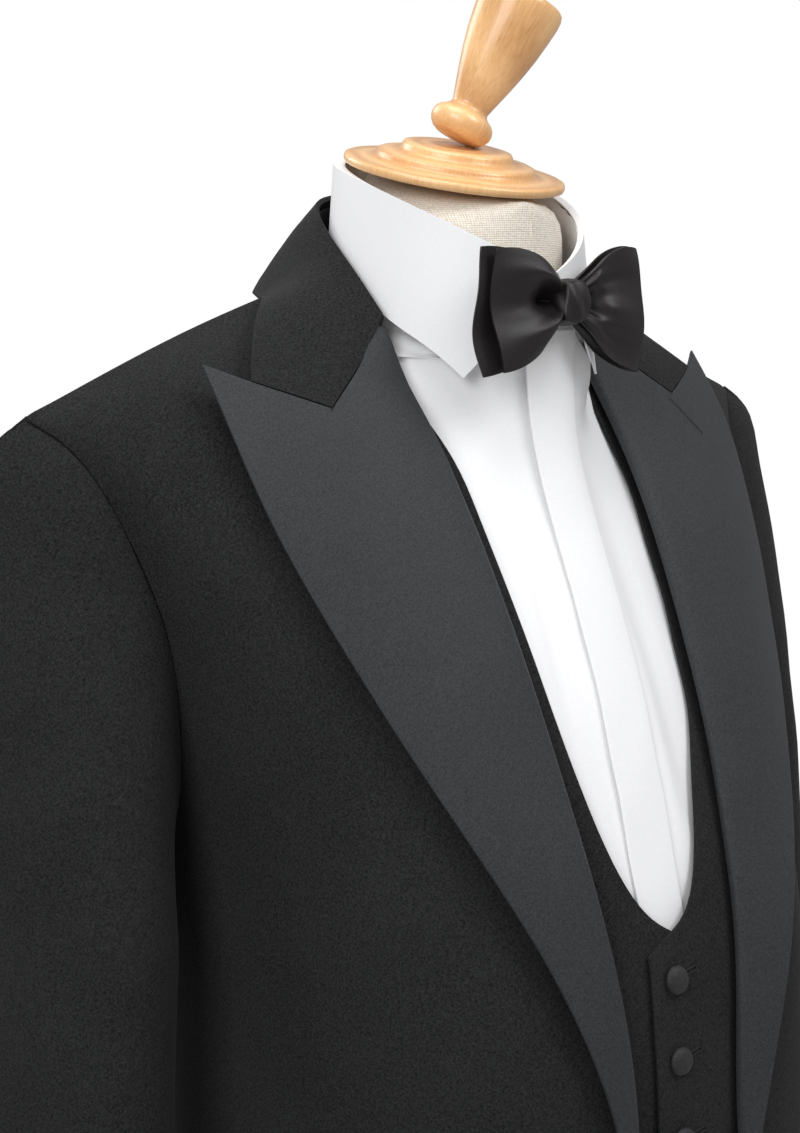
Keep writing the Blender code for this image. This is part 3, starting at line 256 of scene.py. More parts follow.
def addPiece(name, mesh, finish, nodes):
    thing = bpy.data.objects.new(name, mesh)
    bpy.context.scene.collection.objects.link(thing)
    mesh.materials.clear()
    mesh.materials.append(finishes[finish])
    mesh.shade_smooth()
    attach(thing, "root")
    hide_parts(*nodes)
    made[name] = thing
    return thing


def subdivided(mesh, levels):
    helper = bpy.data.objects.new("helper", mesh)
    bpy.context.scene.collection.objects.link(helper)
    smooth = helper.modifiers.new("smooth", "SUBSURF")
    smooth.levels = levels
    smooth.render_levels = levels
    graph = bpy.context.evaluated_depsgraph_get()
    graph.update()
    result = bpy.data.meshes.new_from_object(helper.evaluated_get(graph))
    bpy.data.objects.remove(helper)
    return result


def refinedMesh(node, rim):
    work = bmesh.new()
    work.from_mesh(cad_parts[node].data)
    bmesh.ops.remove_doubles(work, verts=work.verts, dist=refining["near"])
    bmesh.ops.join_triangles(work, faces=work.faces, angle_face_threshold=refining["flat"],
                             angle_shape_threshold=refining["shape"])
    sharp = np.radians(refining["sharp"])
    edges = [edge for edge in work.edges
             if len(edge.link_faces) == 2 and edge.calc_face_angle(0) > sharp]
    if rim:
        bmesh.ops.bevel(work, geom=edges, offset=rim, offset_type="OFFSET", segments=2,
                        profile=0.5, affect="EDGES", clamp_overlap=True)
    mesh = bpy.data.meshes.new(node + "_cloth")
    work.to_mesh(mesh)
    work.free()
    return subdivided(mesh, refining["levels"])


def moveBy(mesh, shift):  # moves the points of a mesh by a function of their places
    points = np.empty(len(mesh.vertices) * 3)
    mesh.vertices.foreach_get("co", points)
    points = points.reshape(-1, 3)
    points += shift(points)
    mesh.vertices.foreach_set("co", points.ravel())
    mesh.update()


def outward(points, centre):
    away = points - centre
    away[:, 2] = 0
    return away / np.maximum(np.linalg.norm(away, axis=1, keepdims=True), 0.001)


def foldShift(points, rows, centre, seenIn):  # a 0 in seenIn leaves that axis out of the distance
    amount = np.zeros(len(points))
    least, fade = foldFade["least"], foldFade["ends"]
    for start, end, width, depth in rows:
        start, along = np.array(start) * seenIn, (np.array(end) - np.array(start)) * seenIn
        offset = points * seenIn - start
        share = np.clip(offset @ along / (along @ along), 0, 1)
        apart = np.linalg.norm(offset - share[:, None] * along, axis=1)
        soft = least + (1 - least) * np.sin(np.pi * np.clip(share, fade, 1 - fade))
        amount += depth * np.exp(-(apart / width) ** 2) * soft
    return outward(points, centre) * amount[:, None]


def unevenShift(points, size, amount, centre):  # the slight waviness of hanging cloth
    seen = [noise.noise(Vector(p) / size) for p in points]
    return outward(points, centre) * (np.array(seen) * amount)[:, None]


# Sewn pieces. Each row: solid, finish, rim radius, flat width and length of what shows,
# its area, how it is held, and what it lies on

sewn = [
    ("jacket_front_left", "wool", 0.0008, (0.25, 0.78), 0.155, "draped", "waistcoat_front_left"),
    ("jacket_front_right", "wool", 0.0008, (0.25, 0.78), 0.155, "draped", "waistcoat_front_right"),
    ("jacket_side_left", "wool", 0.0008, (0.12, 0.50), 0.0453, "draped", "waistcoat_back"),
    ("jacket_side_right", "wool", 0.0008, (0.12, 0.50), 0.0453, "draped", "waistcoat_back"),
    ("jacket_back_left", "wool", 0.0008, (0.29, 0.79), 0.1615, "draped", "waistcoat_back"),
    ("jacket_back_right", "wool", 0.0008, (0.29, 0.79), 0.1615, "draped", "waistcoat_back"),
    ("sleeve_top_left", "wool", 0.0008, (0.26, 0.66), 0.1255, "hung", "jacket_front_left"),
    ("sleeve_top_right", "wool", 0.0008, (0.26, 0.66), 0.1255, "hung", "jacket_front_right"),
    ("sleeve_under_left", "wool", 0.0008, (0.12, 0.50), 0.0410, "hung", "jacket_side_left"),
    ("sleeve_under_right", "wool", 0.0008, (0.12, 0.50), 0.0410, "hung", "jacket_side_right"),
    ("jacket_collar", "wool", 0.0008, (0.08, 0.52), 0.0279, "folded", "jacket_collar_stand"),
    ("jacket_collar_stand", "wool", 0.0003, (0.055, 0.30), 0.0100, "draped", "jacket_back_left"),
    ("lapel_left", "lapelFacing", 0.0008, (0.13, 0.48), 0.0320, "folded", "jacket_front_left"),
    ("lapel_right", "lapelFacing", 0.0008, (0.13, 0.48), 0.0320, "folded", "jacket_front_right"),
    ("waistcoat_front_left", "wool", 0.0006, (0.32, 0.55), 0.0955, "draped", "shirt_front_left"),
    ("waistcoat_front_right", "wool", 0.0006, (0.32, 0.55), 0.0940, "draped", "shirt_front_right"),
    ("waistcoat_back", "wool", 0.0006, (0.46, 0.54), 0.1856, "draped", "shirt_back"),
    ("shirt_front_left", "cotton", 0.0003, (0.30, 0.76), 0.1769, "draped", "form_torso"),
    ("shirt_front_right", "cotton", 0.0003, (0.30, 0.76), 0.1845, "draped", "form_torso"),
    ("shirt_back", "cotton", 0.0003, (0.50, 0.78), 0.3004, "draped", "form_torso"),
    ("shirt_placket", "cotton", 0.0004, (0.034, 0.71), 0.0218, "laid", "shirt_front_left"),
    ("shirt_collar_stand", "cotton", 0.0003, (0.048, 0.42), 0.0186, "folded", "shirt_back"),
    ("shirt_collar", "cotton", 0.0004, (0.075, 0.46), 0.0243, "folded", "shirt_collar_stand")]

# Soft folds and waves of each group of pieces: start, end, width and depth, in metres
folds = {
    "jacket": [((-0.150, -0.090, 1.380), (-0.175, -0.060, 1.180), 0.022, -0.0016),
               ((0.152, -0.090, 1.370), (0.178, -0.060, 1.190), 0.024, -0.0015),
               ((-0.168, -0.030, 1.060), (-0.120, -0.150, 0.960), 0.020, 0.0016),
               ((0.170, -0.030, 1.050), (0.118, -0.150, 0.965), 0.022, 0.0015),
               ((-0.120, 0.120, 1.330), (-0.070, 0.140, 1.120), 0.026, -0.0018),
               ((0.115, 0.122, 1.340), (0.074, 0.140, 1.130), 0.024, -0.0016),
               ((-0.110, 0.110, 1.040), (0.020, 0.120, 1.010), 0.018, 0.0012),
               ((0.120, 0.100, 1.020), (0.010, 0.118, 0.990), 0.019, 0.0011),
               ((-0.100, 0.110, 0.930), (-0.085, 0.125, 0.730), 0.028, 0.0016),
               ((0.104, 0.110, 0.950), (0.090, 0.125, 0.735), 0.030, 0.0017)],
    "sleeve": [((-0.275, -0.020, 1.300), (-0.268, -0.050, 1.080), 0.018, -0.0020),
               ((0.273, -0.022, 1.290), (0.268, -0.050, 1.070), 0.019, -0.0018),
               ((-0.235, -0.055, 1.060), (-0.285, -0.020, 1.010), 0.013, 0.0016),
               ((0.234, -0.055, 1.050), (0.285, -0.018, 1.000), 0.014, 0.0015),
               ((-0.225, 0.060, 1.120), (-0.270, 0.045, 1.040), 0.015, 0.0018),
               ((0.226, 0.060, 1.110), (0.270, 0.045, 1.035), 0.015, 0.0017),
               ((-0.225, -0.045, 0.900), (-0.275, -0.050, 0.860), 0.012, 0.0011),
               ((0.226, -0.045, 0.895), (0.275, -0.050, 0.860), 0.012, 0.0010)],
    "shirt": [((-0.026, -0.150, 1.395), (-0.034, -0.170, 1.200), 0.0075, -0.0026),
              ((0.028, -0.150, 1.390), (0.036, -0.168, 1.210), 0.0080, -0.0024),
              ((-0.040, -0.140, 1.360), (-0.046, -0.160, 1.240), 0.0065, 0.0020),
              ((-0.0185, -0.160, 1.310), (-0.0195, -0.178, 1.160), 0.0040, -0.0020),
              ((0.022, -0.160, 1.290), (0.024, -0.178, 1.175), 0.0055, 0.0015),
              ((-0.060, 0.110, 1.350), (-0.030, 0.110, 1.100), 0.020, 0.0010)],
    "waistcoat": [((-0.010, -0.180, 1.130), (-0.060, -0.165, 1.150), 0.011, 0.0009),
                  ((-0.010, -0.180, 1.088), (-0.065, -0.165, 1.080), 0.010, 0.0008),
                  ((0.002, -0.180, 1.050), (0.050, -0.168, 1.062), 0.011, 0.0008),
                  ((0.002, -0.180, 1.008), (0.055, -0.165, 0.996), 0.011, 0.0007)]}
placketFolds = [((-0.014, 0, 1.352), (0.012, 0, 1.366), 0.0045, -0.0006),
                ((-0.002, 0, 1.262), (0.016, 0, 1.278), 0.0040, -0.0007),
                ((-0.012, 0, 1.222), (0.012, 0, 1.250), 0.0050, 0.0007),
                ((-0.010, 0, 1.196), (0.010, 0, 1.188), 0.0045, -0.0006)]
edgeWave = {"size": 0.045, "amount": 0.0016}  # how the placket's edges wander from side to side
waves = {"jacket": (0.070, 0.0011), "sleeve": (0.055, 0.0013), "shirt": (0.045, 0.0006),
         "waistcoat": (0.060, 0.0007)}
# The middle of the left sleeve at the cuff, the elbow and the top: height, x and y
sleeveMiddle = [(0.80, 0.252, -0.018), (1.15, 0.2325, 0.015), (1.42, 0.213, 0.012)]


def centreOf(name, points):
    centre = np.zeros_like(points)
    centre[:, 2] = points[:, 2]
    if "sleeve" in name:
        side = 1 if "left" in name else -1
        heights, across, deep = zip(*sleeveMiddle)
        centre[:, 0] = np.interp(points[:, 2], heights, across) * side
        centre[:, 1] = np.interp(points[:, 2], heights, deep)
    return centre


def groupOf(name):
    for group in folds:
        if name.startswith(group):
            return group
    return "jacket"


def foldFor(name):
    group = groupOf(name)
    size, amount = waves[group]

    def shift(points):
        centre = centreOf(name, points)
        move = unevenShift(points, size, amount, centre)
        if "placket" in name:
            move += foldShift(points, placketFolds, centre, (1, 0, 1))
            heights = points[:, 2] / edgeWave["size"]
            move[:, 0] += [noise.noise(Vector((0, 0, h))) * edgeWave["amount"] for h in heights]
        elif "shirt_front" in name:
            move += foldShift(points, folds[group], centre, (1, 0, 1))
        elif "collar" not in name and "lapel" not in name:
            move += foldShift(points, folds[group], centre, (1, 1, 1))
        return move
    return shift


# The shirt at the neck: from this height up, over this much, the tops of the fronts and the
# placket rise to the stand, out to the full width and fading to nothing at the last one
neckJoin = {"from": 1.420, "over": 0.026, "rise": 0.0125, "full": 0.0190, "none": 0.0270}
standTopRise = {"over": 0.008, "rise": 0.0024, "out": 0.0006, "degrees": 6}
neckMiddleY = -0.032


def smoothStep(value):
    value = np.clip(value, 0, 1)
    return value * value * (3 - 2 * value)


def raiseTops(points):
    lift = smoothStep((points[:, 2] - neckJoin["from"]) / neckJoin["over"]) * neckJoin["rise"]
    fading = neckJoin["none"] - neckJoin["full"]
    lift *= smoothStep((neckJoin["none"] - abs(points[:, 0])) / fading)
    lift[points[:, 1] > 0] = 0
    return lift[:, None] * np.array([0, 0, 1])


def raiseStand(points):  # the stand's top edge meets the inside of the fold
    around = np.degrees(np.arctan2(points[:, 0], neckMiddleY - points[:, 1]))
    sector = np.round(around / standTopRise["degrees"]).astype(int)
    tops = {k: points[abs(sector - k) <= 1, 2].max() for k in set(sector)}
    below = np.array([tops[k] for k in sector]) - points[:, 2]
    share = smoothStep(1 - below / standTopRise["over"])
    move = outward(points, np.array([0, neckMiddleY, 0])) * standTopRise["out"]
    move[:, 2] = standTopRise["rise"]
    return move * share[:, None]


# Presses of the hand on single pieces: start of the name, centre, reach and move, in metres.
# The ones on both sides are given for the wearer's left.
bothSides = [
    ("jacket_collar", (0.092, 0.006, 1.502), 0.026, (-0.0015, 0.0, -0.0062)),
    ("jacket_collar", (0.100, 0.026, 1.490), 0.032, (0.0, 0.0, -0.0032)),
    ("lapel", (0.0700, -0.060, 1.460), 0.016, (-0.0015, -0.0005, 0.0180)),
    ("jacket_", (0.264, 0.010, 1.408), 0.026, (0.0080, 0.0, 0.0005)),
    ("sleeve_", (0.264, 0.010, 1.408), 0.026, (0.0080, 0.0, 0.0005)),
    ("jacket_", (0.252, 0.010, 1.427), 0.005, (-0.0040, 0.0, -0.0016)),
    ("sleeve_", (0.252, 0.010, 1.427), 0.008, (-0.0035, 0.0, 0.0003)),
    ("sleeve_", (0.200, 0.000, 1.030), 0.070, (-0.0055, 0.0, 0.0)),
    ("jacket_", (0.165, 0.050, 1.030), 0.075, (0.0055, 0.0010, 0.0))]
oneSide = [
    ("shirt_collar", (0.034, -0.096, 1.450), 0.015, (-0.0080, -0.0060, -0.0020)),
    ("shirt_front_left", (0.036, -0.092, 1.434), 0.020, (0.0045, -0.0085, 0.0030)),
    ("waistcoat_front_left", (0.055, -0.098, 1.370), 0.035, (0.0085, 0.0022, 0.0)),
    ("waistcoat_front_left", (0.048, -0.125, 1.315), 0.035, (0.0085, 0.0022, 0.0)),
    ("waistcoat_front_left", (0.043, -0.143, 1.262), 0.032, (0.0080, 0.0022, 0.0)),
    ("waistcoat_front_right", (-0.057, -0.083, 1.392), 0.034, (0.0032, -0.0010, 0.0))]
mirror = np.array([-1, 1, 1])
presses = [(start, np.array(centre), reach, np.array(move))
           for start, centre, reach, move in bothSides + oneSide]
presses += [(start, mirror * centre, reach, mirror * move)
            for start, centre, reach, move in bothSides]
shirtSmoothing = {"above": 1.415, "beside": 0.026, "rounds": 30}


def pressPiece(name, mesh):
    for start, centre, reach, move in presses:
        if name.startswith(start) and not name.endswith("stand"):
            moveBy(mesh, lambda points: np.exp(-(np.linalg.norm(points - centre, axis=1)
                                                 / reach) ** 2)[:, None] * move)


def smoothShoulder(mesh):  # eases the crease where a shirt front turns up to the neck
    work = bmesh.new()
    work.from_mesh(mesh)
    points = [v for v in work.verts if v.co.z > shirtSmoothing["above"] and v.co.y < 0
              and abs(v.co.x) > shirtSmoothing["beside"]]
    for _ in range(shirtSmoothing["rounds"]):
        bmesh.ops.smooth_vert(work, verts=points, factor=0.5, use_axis_x=True, use_axis_y=True,
                              use_axis_z=True)
    work.to_mesh(mesh)
    work.free()


seamFill = 0.0004  # how much the jacket's side pieces swell, to close the seams to the light


def swell(mesh, amount):
    normals = np.empty(len(mesh.vertices) * 3)
    mesh.vertex_normals.foreach_get("vector", normals)
    moveBy(mesh, lambda points: normals.reshape(-1, 3) * amount)


def sewPieces():
    for name, finish, rim, *_ in sewn:
        mesh = refinedMesh(name, rim)
        if name.startswith("jacket_side"):
            swell(mesh, seamFill)
        moveBy(mesh, foldFor(name))
        if name.startswith("shirt_front"):
            smoothShoulder(mesh)
        if name.startswith("shirt_front") or name == "shirt_placket":
            moveBy(mesh, raiseTops)
        if name == "shirt_collar_stand":
            moveBy(mesh, raiseStand)
        pressPiece(name, mesh)
        addPiece(name + "_cloth", mesh, finish, [name])
    print("sewn pieces done")


def declareSheets():
    print("sheets: none declared")


def smoothAlong(rows, column, at):  # a table's column on a smooth curve through its rows
    keys = np.array([row[0] for row in rows])
    values = np.array([row[column] for row in rows])
    slope = np.gradient(values, keys)
    k = np.clip(np.searchsorted(keys, at) - 1, 0, len(keys) - 2)
    step = keys[k + 1] - keys[k]
    f = (np.clip(at, keys[0], keys[-1]) - keys[k]) / step
    return (values[k] * (1 + 2 * f) * (1 - f) ** 2 + slope[k] * step * f * (1 - f) ** 2
            + values[k + 1] * f * f * (3 - 2 * f) + slope[k + 1] * step * f * f * (f - 1))


def closedCloth(name, outer, thickness):  # a thin closed cloth between two grids of points
    rows, columns = outer.shape[:2]
    normal = np.cross(np.gradient(outer, axis=0), np.gradient(outer, axis=1))
    normal /= np.linalg.norm(normal, axis=-1, keepdims=True)
    if normal[..., 1].mean() > 0:
        normal = -normal
    inner = outer - normal * thickness
    count = rows * columns
    faces = []
    for i in range(rows - 1):
        for j in range(columns - 1):
            a = i * columns + j
            b, c, d = a + 1, a + columns + 1, a + columns
            faces += [(a, b, c, d), (count + a, count + d, count + c, count + b)]
    rim = [j for j in range(columns)] + [i * columns + columns - 1 for i in range(1, rows)]
    rim += [(rows - 1) * columns + j for j in range(columns - 2, -1, -1)]
    rim += [i * columns for i in range(rows - 2, 0, -1)]
    faces += [(b, a, count + a, count + b) for a, b in zip(rim, rim[1:] + rim[:1])]
    mesh = bpy.data.meshes.new(name)
    points = np.concatenate([outer.reshape(-1, 3), inner.reshape(-1, 3)])
    mesh.from_pydata(points.tolist(), [], faces)
    work = bmesh.new()
    work.from_mesh(mesh)
    bmesh.ops.recalc_face_normals(work, faces=work.faces)
    edges = [e for e in work.edges if e.calc_face_angle(0) > np.radians(wing["sharp"])]
    bmesh.ops.bevel(work, geom=edges, offset=thickness * wing["round"], segments=2,
                    offset_type="OFFSET", profile=0.5, affect="EDGES", clamp_overlap=True)
    work.to_mesh(mesh)
    work.free()
    return mesh


# The bow: a knot round two layers of butterfly wings, with deep pinches beside the knot

bow = {"y": -0.1136, "z": 1.472, "knot": (0.0087, 0.0108, 0.0122), "cloth": 0.0013,
       "forward": 0.0032, "pinch": 0.0085, "start": 0.0060, "flat": (0.070, 0.056)}
# A wing: its grid of points, the degrees from which an edge is rounded, and how round in
# thicknesses. Its gathers beside the knot are in shares of length and half height, each lobe
# the middle and width of a swelling. A wave has an amount, its turns in radians, and how far
# the wing's phase shifts it.
wing = {"grid": (25, 37), "levels": 1, "sharp": 55, "round": 0.32,
        "gather": {"at": 0.22, "over": 0.20, "width": 0.34, "backShare": 0.35,
                   "lobe": 0.0042, "lobes": ((0.66, 0.26), (-0.62, 0.28))},
        "ridge": {"amount": 0.55, "turns": 5.2, "shift": 4, "slant": 1.2},
        "crease": {"amount": 0.0010, "turns": 17, "shift": 3, "fade": 1.5},
        "curl": {"amount": 0.0022, "turns": 2.4, "shift": 5},
        "edge": {"amount": 0.018, "turns": 3, "shift": 6, "rounding": 0.055},
        "height": {"amount": 0.02, "turns": 4, "shift": 3, "share": 0.4}}
knotShape = {"segments": 64, "rings": 40, "square": 0.55, "crease": 0.00050, "creases": 6,
             "twist": 3.6, "waist": 0.05, "taper": 0.04, "lean": 0.0010, "forward": 0.0006,
             "fill": 0.8}
# One wing from the knot out: share, x, half height, height of its middle, depth of the waves
wingRows = [
    (0.00, 0.0060, 0.0082, 0.0000, 0.0014),
    (0.20, 0.0135, 0.0158, -0.0004, 0.0036),
    (0.45, 0.0235, 0.0244, -0.0014, 0.0044),
    (0.70, 0.0365, 0.0297, -0.0026, 0.0030),
    (0.88, 0.0460, 0.0314, -0.0036, 0.0018),
    (1.00, 0.0512, 0.0316, -0.0042, 0.0011)]
# Each wing: side, distance behind the bow's middle, size, phase of its waves, middle of its
# pinch, and the area of its cloth
wings = {
    "front_right": (-1, -0.0040, 1.00, 0.15, 0.10, 0.00277),
    "front_left": (1, -0.0036, 1.00, -0.35, -0.05, 0.00259),
    "back_right": (-1, 0.0034, 1.12, 0.50, -0.10, 0.00293),
    "back_left": (1, 0.0036, 1.12, -0.10, 0.15, 0.00295)}


def wingGrid(side, behind, size, phase, middleOfPinch):
    gather, ridge, crease, curl, edge, height = [
        wing[key] for key in ("gather", "ridge", "crease", "curl", "edge", "height")]
    shares = np.linspace(0, 1, wing["grid"][0])
    across = np.linspace(-1, 1, wing["grid"][1])
    rows = []
    for share in shares:
        x, half, middle, wave = [float(smoothAlong(wingRows, k, share)) for k in range(1, 5)]
        row = []
        for v in across:
            near = np.exp(-((share - gather["at"]) / gather["over"]) ** 2)
            hollow = bow["pinch"] * near * np.exp(-((v - middleOfPinch) / gather["width"]) ** 2)
            lobes = -gather["lobe"] * near * sum(np.exp(-((v - at) / width) ** 2)
                                                 for at, width in gather["lobes"])
            deep = (hollow + lobes) * (1 if behind < 0 else gather["backShare"])
            ridges = wave * ridge["amount"] * np.sin(ridge["turns"] * v + phase * ridge["shift"]
                                                     + ridge["slant"] * share)
            creases = crease["amount"] * (1 - share) ** crease["fade"] * np.sin(
                crease["turns"] * v + phase * crease["shift"])
            curled = curl["amount"] * share ** 3 * np.sin(curl["turns"] * v + phase * curl["shift"])
            y = bow["y"] + behind + deep + ridges + creases + curled
            y -= bow["forward"] * np.sin(np.pi * share)
            corner = 1 - edge["rounding"] * share * abs(v) ** 3
            corner += edge["amount"] * share * np.sin(edge["turns"] * v + phase * edge["shift"])
            tall = 1 + (size - 1) * height["share"] + height["amount"] * np.sin(
                height["turns"] * share + phase * height["shift"])
            row.append((side * (bow["start"] + (x - bow["start"]) * size * corner), y,
                        bow["z"] + (middle + half * v) * tall))
        rows.append(row)
    return np.array(rows)


def makeBow():
    for name, (side, behind, size, phase, pinch, area) in wings.items():
        mesh = closedCloth("bow_wing", wingGrid(side, behind, size, phase, pinch), bow["cloth"])
        piece = addPiece("bow_wing_%s_satin" % name, subdivided(mesh, wing["levels"]), "satin",
                         ["bow_wing_" + name])
    mesh = bpy.data.meshes.new("bow_knot")
    work = bmesh.new()
    bmesh.ops.create_uvsphere(work, u_segments=knotShape["segments"],
                              v_segments=knotShape["rings"], radius=1.0)
    wide, deep, tall = bow["knot"]
    for vert in work.verts:
        x, y, z = vert.co
        power = max(abs(x), abs(y), abs(z)) ** knotShape["square"]
        x, y, z = x / power, y / power, z / power
        around = np.sin(knotShape["creases"] * np.arctan2(y, x) + knotShape["twist"] * z)
        fold = knotShape["crease"] * around * (1 - abs(z) ** 4)
        waist = 1 + knotShape["waist"] * (1 - z * z) - knotShape["taper"] * z
        vert.co = ((wide + fold) * x * waist + knotShape["lean"] * z, (deep + fold) * y * waist,
                   tall * z)
    bmesh.ops.translate(work, verts=work.verts,
                        vec=(0, bow["y"] - knotShape["forward"], bow["z"]))
    work.to_mesh(mesh)
    work.free()
    knot = addPiece("bow_knot_satin", mesh, "satin", ["bow_knot"])
    print("bow done")


# Turned wood: profiles of radius and height, from the top down the outer side

woodSteps = 96
cap = {"y": -0.029, "z": 1.5430, "tilt": 16.5}
capProfile = [
    (0.0, 0.0165), (0.0262, 0.0165), (0.0290, 0.0160), (0.0300, 0.0146), (0.0302, 0.0130),
    (0.0312, 0.0118), (0.0335, 0.0111), (0.0370, 0.0107), (0.0410, 0.0105), (0.0426, 0.0098),
    (0.0431, 0.0086), (0.0434, 0.0073), (0.0450, 0.0063), (0.0490, 0.0058), (0.0545, 0.0055),
    (0.0582, 0.0054), (0.0596, 0.0048), (0.0600, 0.0038), (0.0600, 0.0022), (0.0594, 0.0009),
    (0.0582, 0.0004), (0.0, 0.0004)]
knob = {"seat": (-0.0035, 0.0, 0.0204), "lean": 24.0}
knobProfile = [
    (0.0, 0.0840), (0.0196, 0.0840), (0.0214, 0.0837), (0.0226, 0.0826), (0.0233, 0.0800),
    (0.0233, 0.0760), (0.0223, 0.0680), (0.0205, 0.0565), (0.0182, 0.0460), (0.0158, 0.0370),
    (0.0136, 0.0295), (0.0118, 0.0235), (0.0107, 0.0198), (0.0104, 0.0184), (0.0110, 0.0168),
    (0.0126, 0.0154), (0.0150, 0.0139), (0.0168, 0.0118), (0.0175, 0.0092), (0.0172, 0.0066),
    (0.0160, 0.0042), (0.0140, 0.0021), (0.0112, 0.0007), (0.0, 0.0)]
standTop = 0.7897
poleProfile = [
    (0.0, standTop), (0.0385, standTop), (0.0405, standTop - 0.001), (0.0418, standTop - 0.004),
    (0.0414, standTop - 0.008), (0.0392, standTop - 0.011), (0.0300, standTop - 0.0128),
    (0.0215, standTop - 0.0155), (0.0175, standTop - 0.0200), (0.0160, standTop - 0.0260),
    (0.0160, 0.062), (0.0175, 0.0565), (0.0212, 0.0520), (0.0248, 0.0460), (0.0260, 0.0400),
    (0.0260, 0.0320), (0.0252, 0.0303), (0.0, 0.0303)]
baseProfile = [
    (0.0, 0.0300), (0.0585, 0.0300), (0.0605, 0.0294), (0.0640, 0.0282), (0.0850, 0.0262),
    (0.1180, 0.0242), (0.1500, 0.0222), (0.1640, 0.0204), (0.1712, 0.0176), (0.1745, 0.0142),
    (0.1750, 0.0105), (0.1748, 0.0058), (0.1738, 0.0025), (0.1710, 0.0003), (0.1690, 0.0),
    (0.0, 0.0)]


def turnedMesh(name, profile, steps):
    work = bmesh.new()
    rings = []
    for radius, height in profile:
        count = 1 if radius == 0 else steps
        angles = 2 * np.pi * np.arange(count) / steps
        rings.append([work.verts.new((radius * np.cos(a), radius * np.sin(a), height))
                      for a in angles])
    for above, below in zip(rings, rings[1:]):
        for k in range(steps):
            first, second = above[k % len(above)], above[(k + 1) % len(above)]
            third, fourth = below[(k + 1) % len(below)], below[k % len(below)]
            corners = list(dict.fromkeys([first, fourth, third, second]))
            work.faces.new(corners)
    bmesh.ops.recalc_face_normals(work, faces=work.faces)
    mesh = bpy.data.meshes.new(name)
    work.to_mesh(mesh)
    work.free()
    return mesh


def makeWood():
    tilt = Matrix.Translation((0, cap["y"], cap["z"]))
    tilt = tilt @ Matrix.Rotation(np.radians(cap["tilt"]), 4, "X")
    lean = tilt @ Matrix.Translation(knob["seat"])
    lean = lean @ Matrix.Rotation(np.radians(knob["lean"]), 4, "Y")
    turned = [("neck_cap", capProfile, tilt), ("neck_knob", knobProfile, lean),
              ("stand_pole", poleProfile, None), ("stand_base", baseProfile, None)]
    for name, profile, matrix in turned:
        thing = addPiece(name + "_wood", turnedMesh(name, profile, woodSteps), "beech", [name])
        if matrix is not None:
            thing.matrix_world = matrix
    print("wood done")


# The padded form under the clothes, in linen, with the seam of its neck between two photo
# pixels. Its edges aren't rounded.

neckSeam = {"top": (529, 198), "bottom": (534, 262), "points": 9, "radius": 0.00050}


def makeForm():
    mesh = refinedMesh("form_torso", 0.0)
    piece = addPiece("form_torso_linen", mesh, "linen", ["form_torso"])
    pixels = np.linspace(neckSeam["top"], neckSeam["bottom"], neckSeam["points"])
    seam = [throughPixel(piece, pixel) for pixel in pixels]
    strand("neck_seam", seam, "linen", neckSeam["radius"])
    print("form done")


# Covered buttons, domed, with a rolled rim: the profile is in shares of radius and height

buttonSteps = 48
buttonFit = 0.985  # of the solid's radius
buttonProfile = [
    (0.0, 1.00), (0.30, 0.975), (0.55, 0.90), (0.76, 0.76), (0.90, 0.58), (0.97, 0.42),
    (1.00, 0.28), (0.97, 0.16), (0.88, 0.09), (0.74, 0.06), (0.0, 0.06)]


def makeButtons():
    for name in ["waistcoat_button_%d" % k for k in (1, 2, 3, 4)] + ["jacket_button"]:
        points = np.array([v.co[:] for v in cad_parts[name].data.vertices])
        middle = (points.max(axis=0) + points.min(axis=0)) / 2
        _, _, axes = np.linalg.svd(points - points.mean(axis=0))
        axis = axes[2] if axes[2][1] < 0 else -axes[2]
        along = (points - middle) @ axis
        height = along.max() - along.min()
        beside = np.linalg.norm(points - middle - along[:, None] * axis, axis=1)
        radius = beside.max() * buttonFit
        profile = [(r * radius, h * height) for r, h in buttonProfile]
        turn = Vector((0, 0, 1)).rotation_difference(Vector(axis)).to_matrix().to_4x4()
        seat = Matrix.Translation(Vector(middle + axis * along.min()))
        mesh = turnedMesh(name, profile, buttonSteps)
        piece = addPiece(name + "_covered", mesh, "covered", [name])
        piece.matrix_world = seat @ turn
    print("buttons done")


# Worked buttonholes: the radius of a thread and of a fine one, how far it stands off the
# cloth, the step along it, the widening and arc of its round end in radians and points, and
# the y in front of the cloth that it is laid from. Each has two ends and half a width: the
# waistcoat's are x and rise over the button, the jacket's x and height, the lapel's pixels.

handwork = {"strand": 0.00045, "fine": 0.00030, "lift": 0.00025, "step": 0.0012,
            "end": 1.3, "arc": (0.5, 2.64, 7), "front": -0.5,
            "waistcoat": ((0.0125, 0.0030), (-0.0085, -0.0008), 0.0011),
            "jacket": ((0.078, 1.030), (0.0565, 1.0285), 0.0012),
            "lapel": ((669, 398), (702, 433), 0.0006)}


def strand(name, points, finish, radius):  # a thread along the points that met a piece
    met = [point for point in points if point]
    curve = bpy.data.curves.new(name, "CURVE")
    curve.dimensions = "3D"
    curve.bevel_depth = radius
    curve.bevel_resolution = 2
    curve.use_fill_caps = True
    spline = curve.splines.new("POLY")
    spline.points.add(len(met) - 1)
    for target, point in zip(spline.points, met):
        target.co = (*point, 1)
    thing = bpy.data.objects.new(name, curve)
    bpy.context.scene.collection.objects.link(thing)
    curve.materials.append(finishes[finish])
    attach(thing, "root")


def onSurface(tree, x, z, lift):  # a piece's point at an x and a height, seen from the front
    hit, normal, _, _ = tree.ray_cast(Vector((x, handwork["front"], z)), Vector((0, 1, 0)))
    return None if hit is None else hit + normal * lift


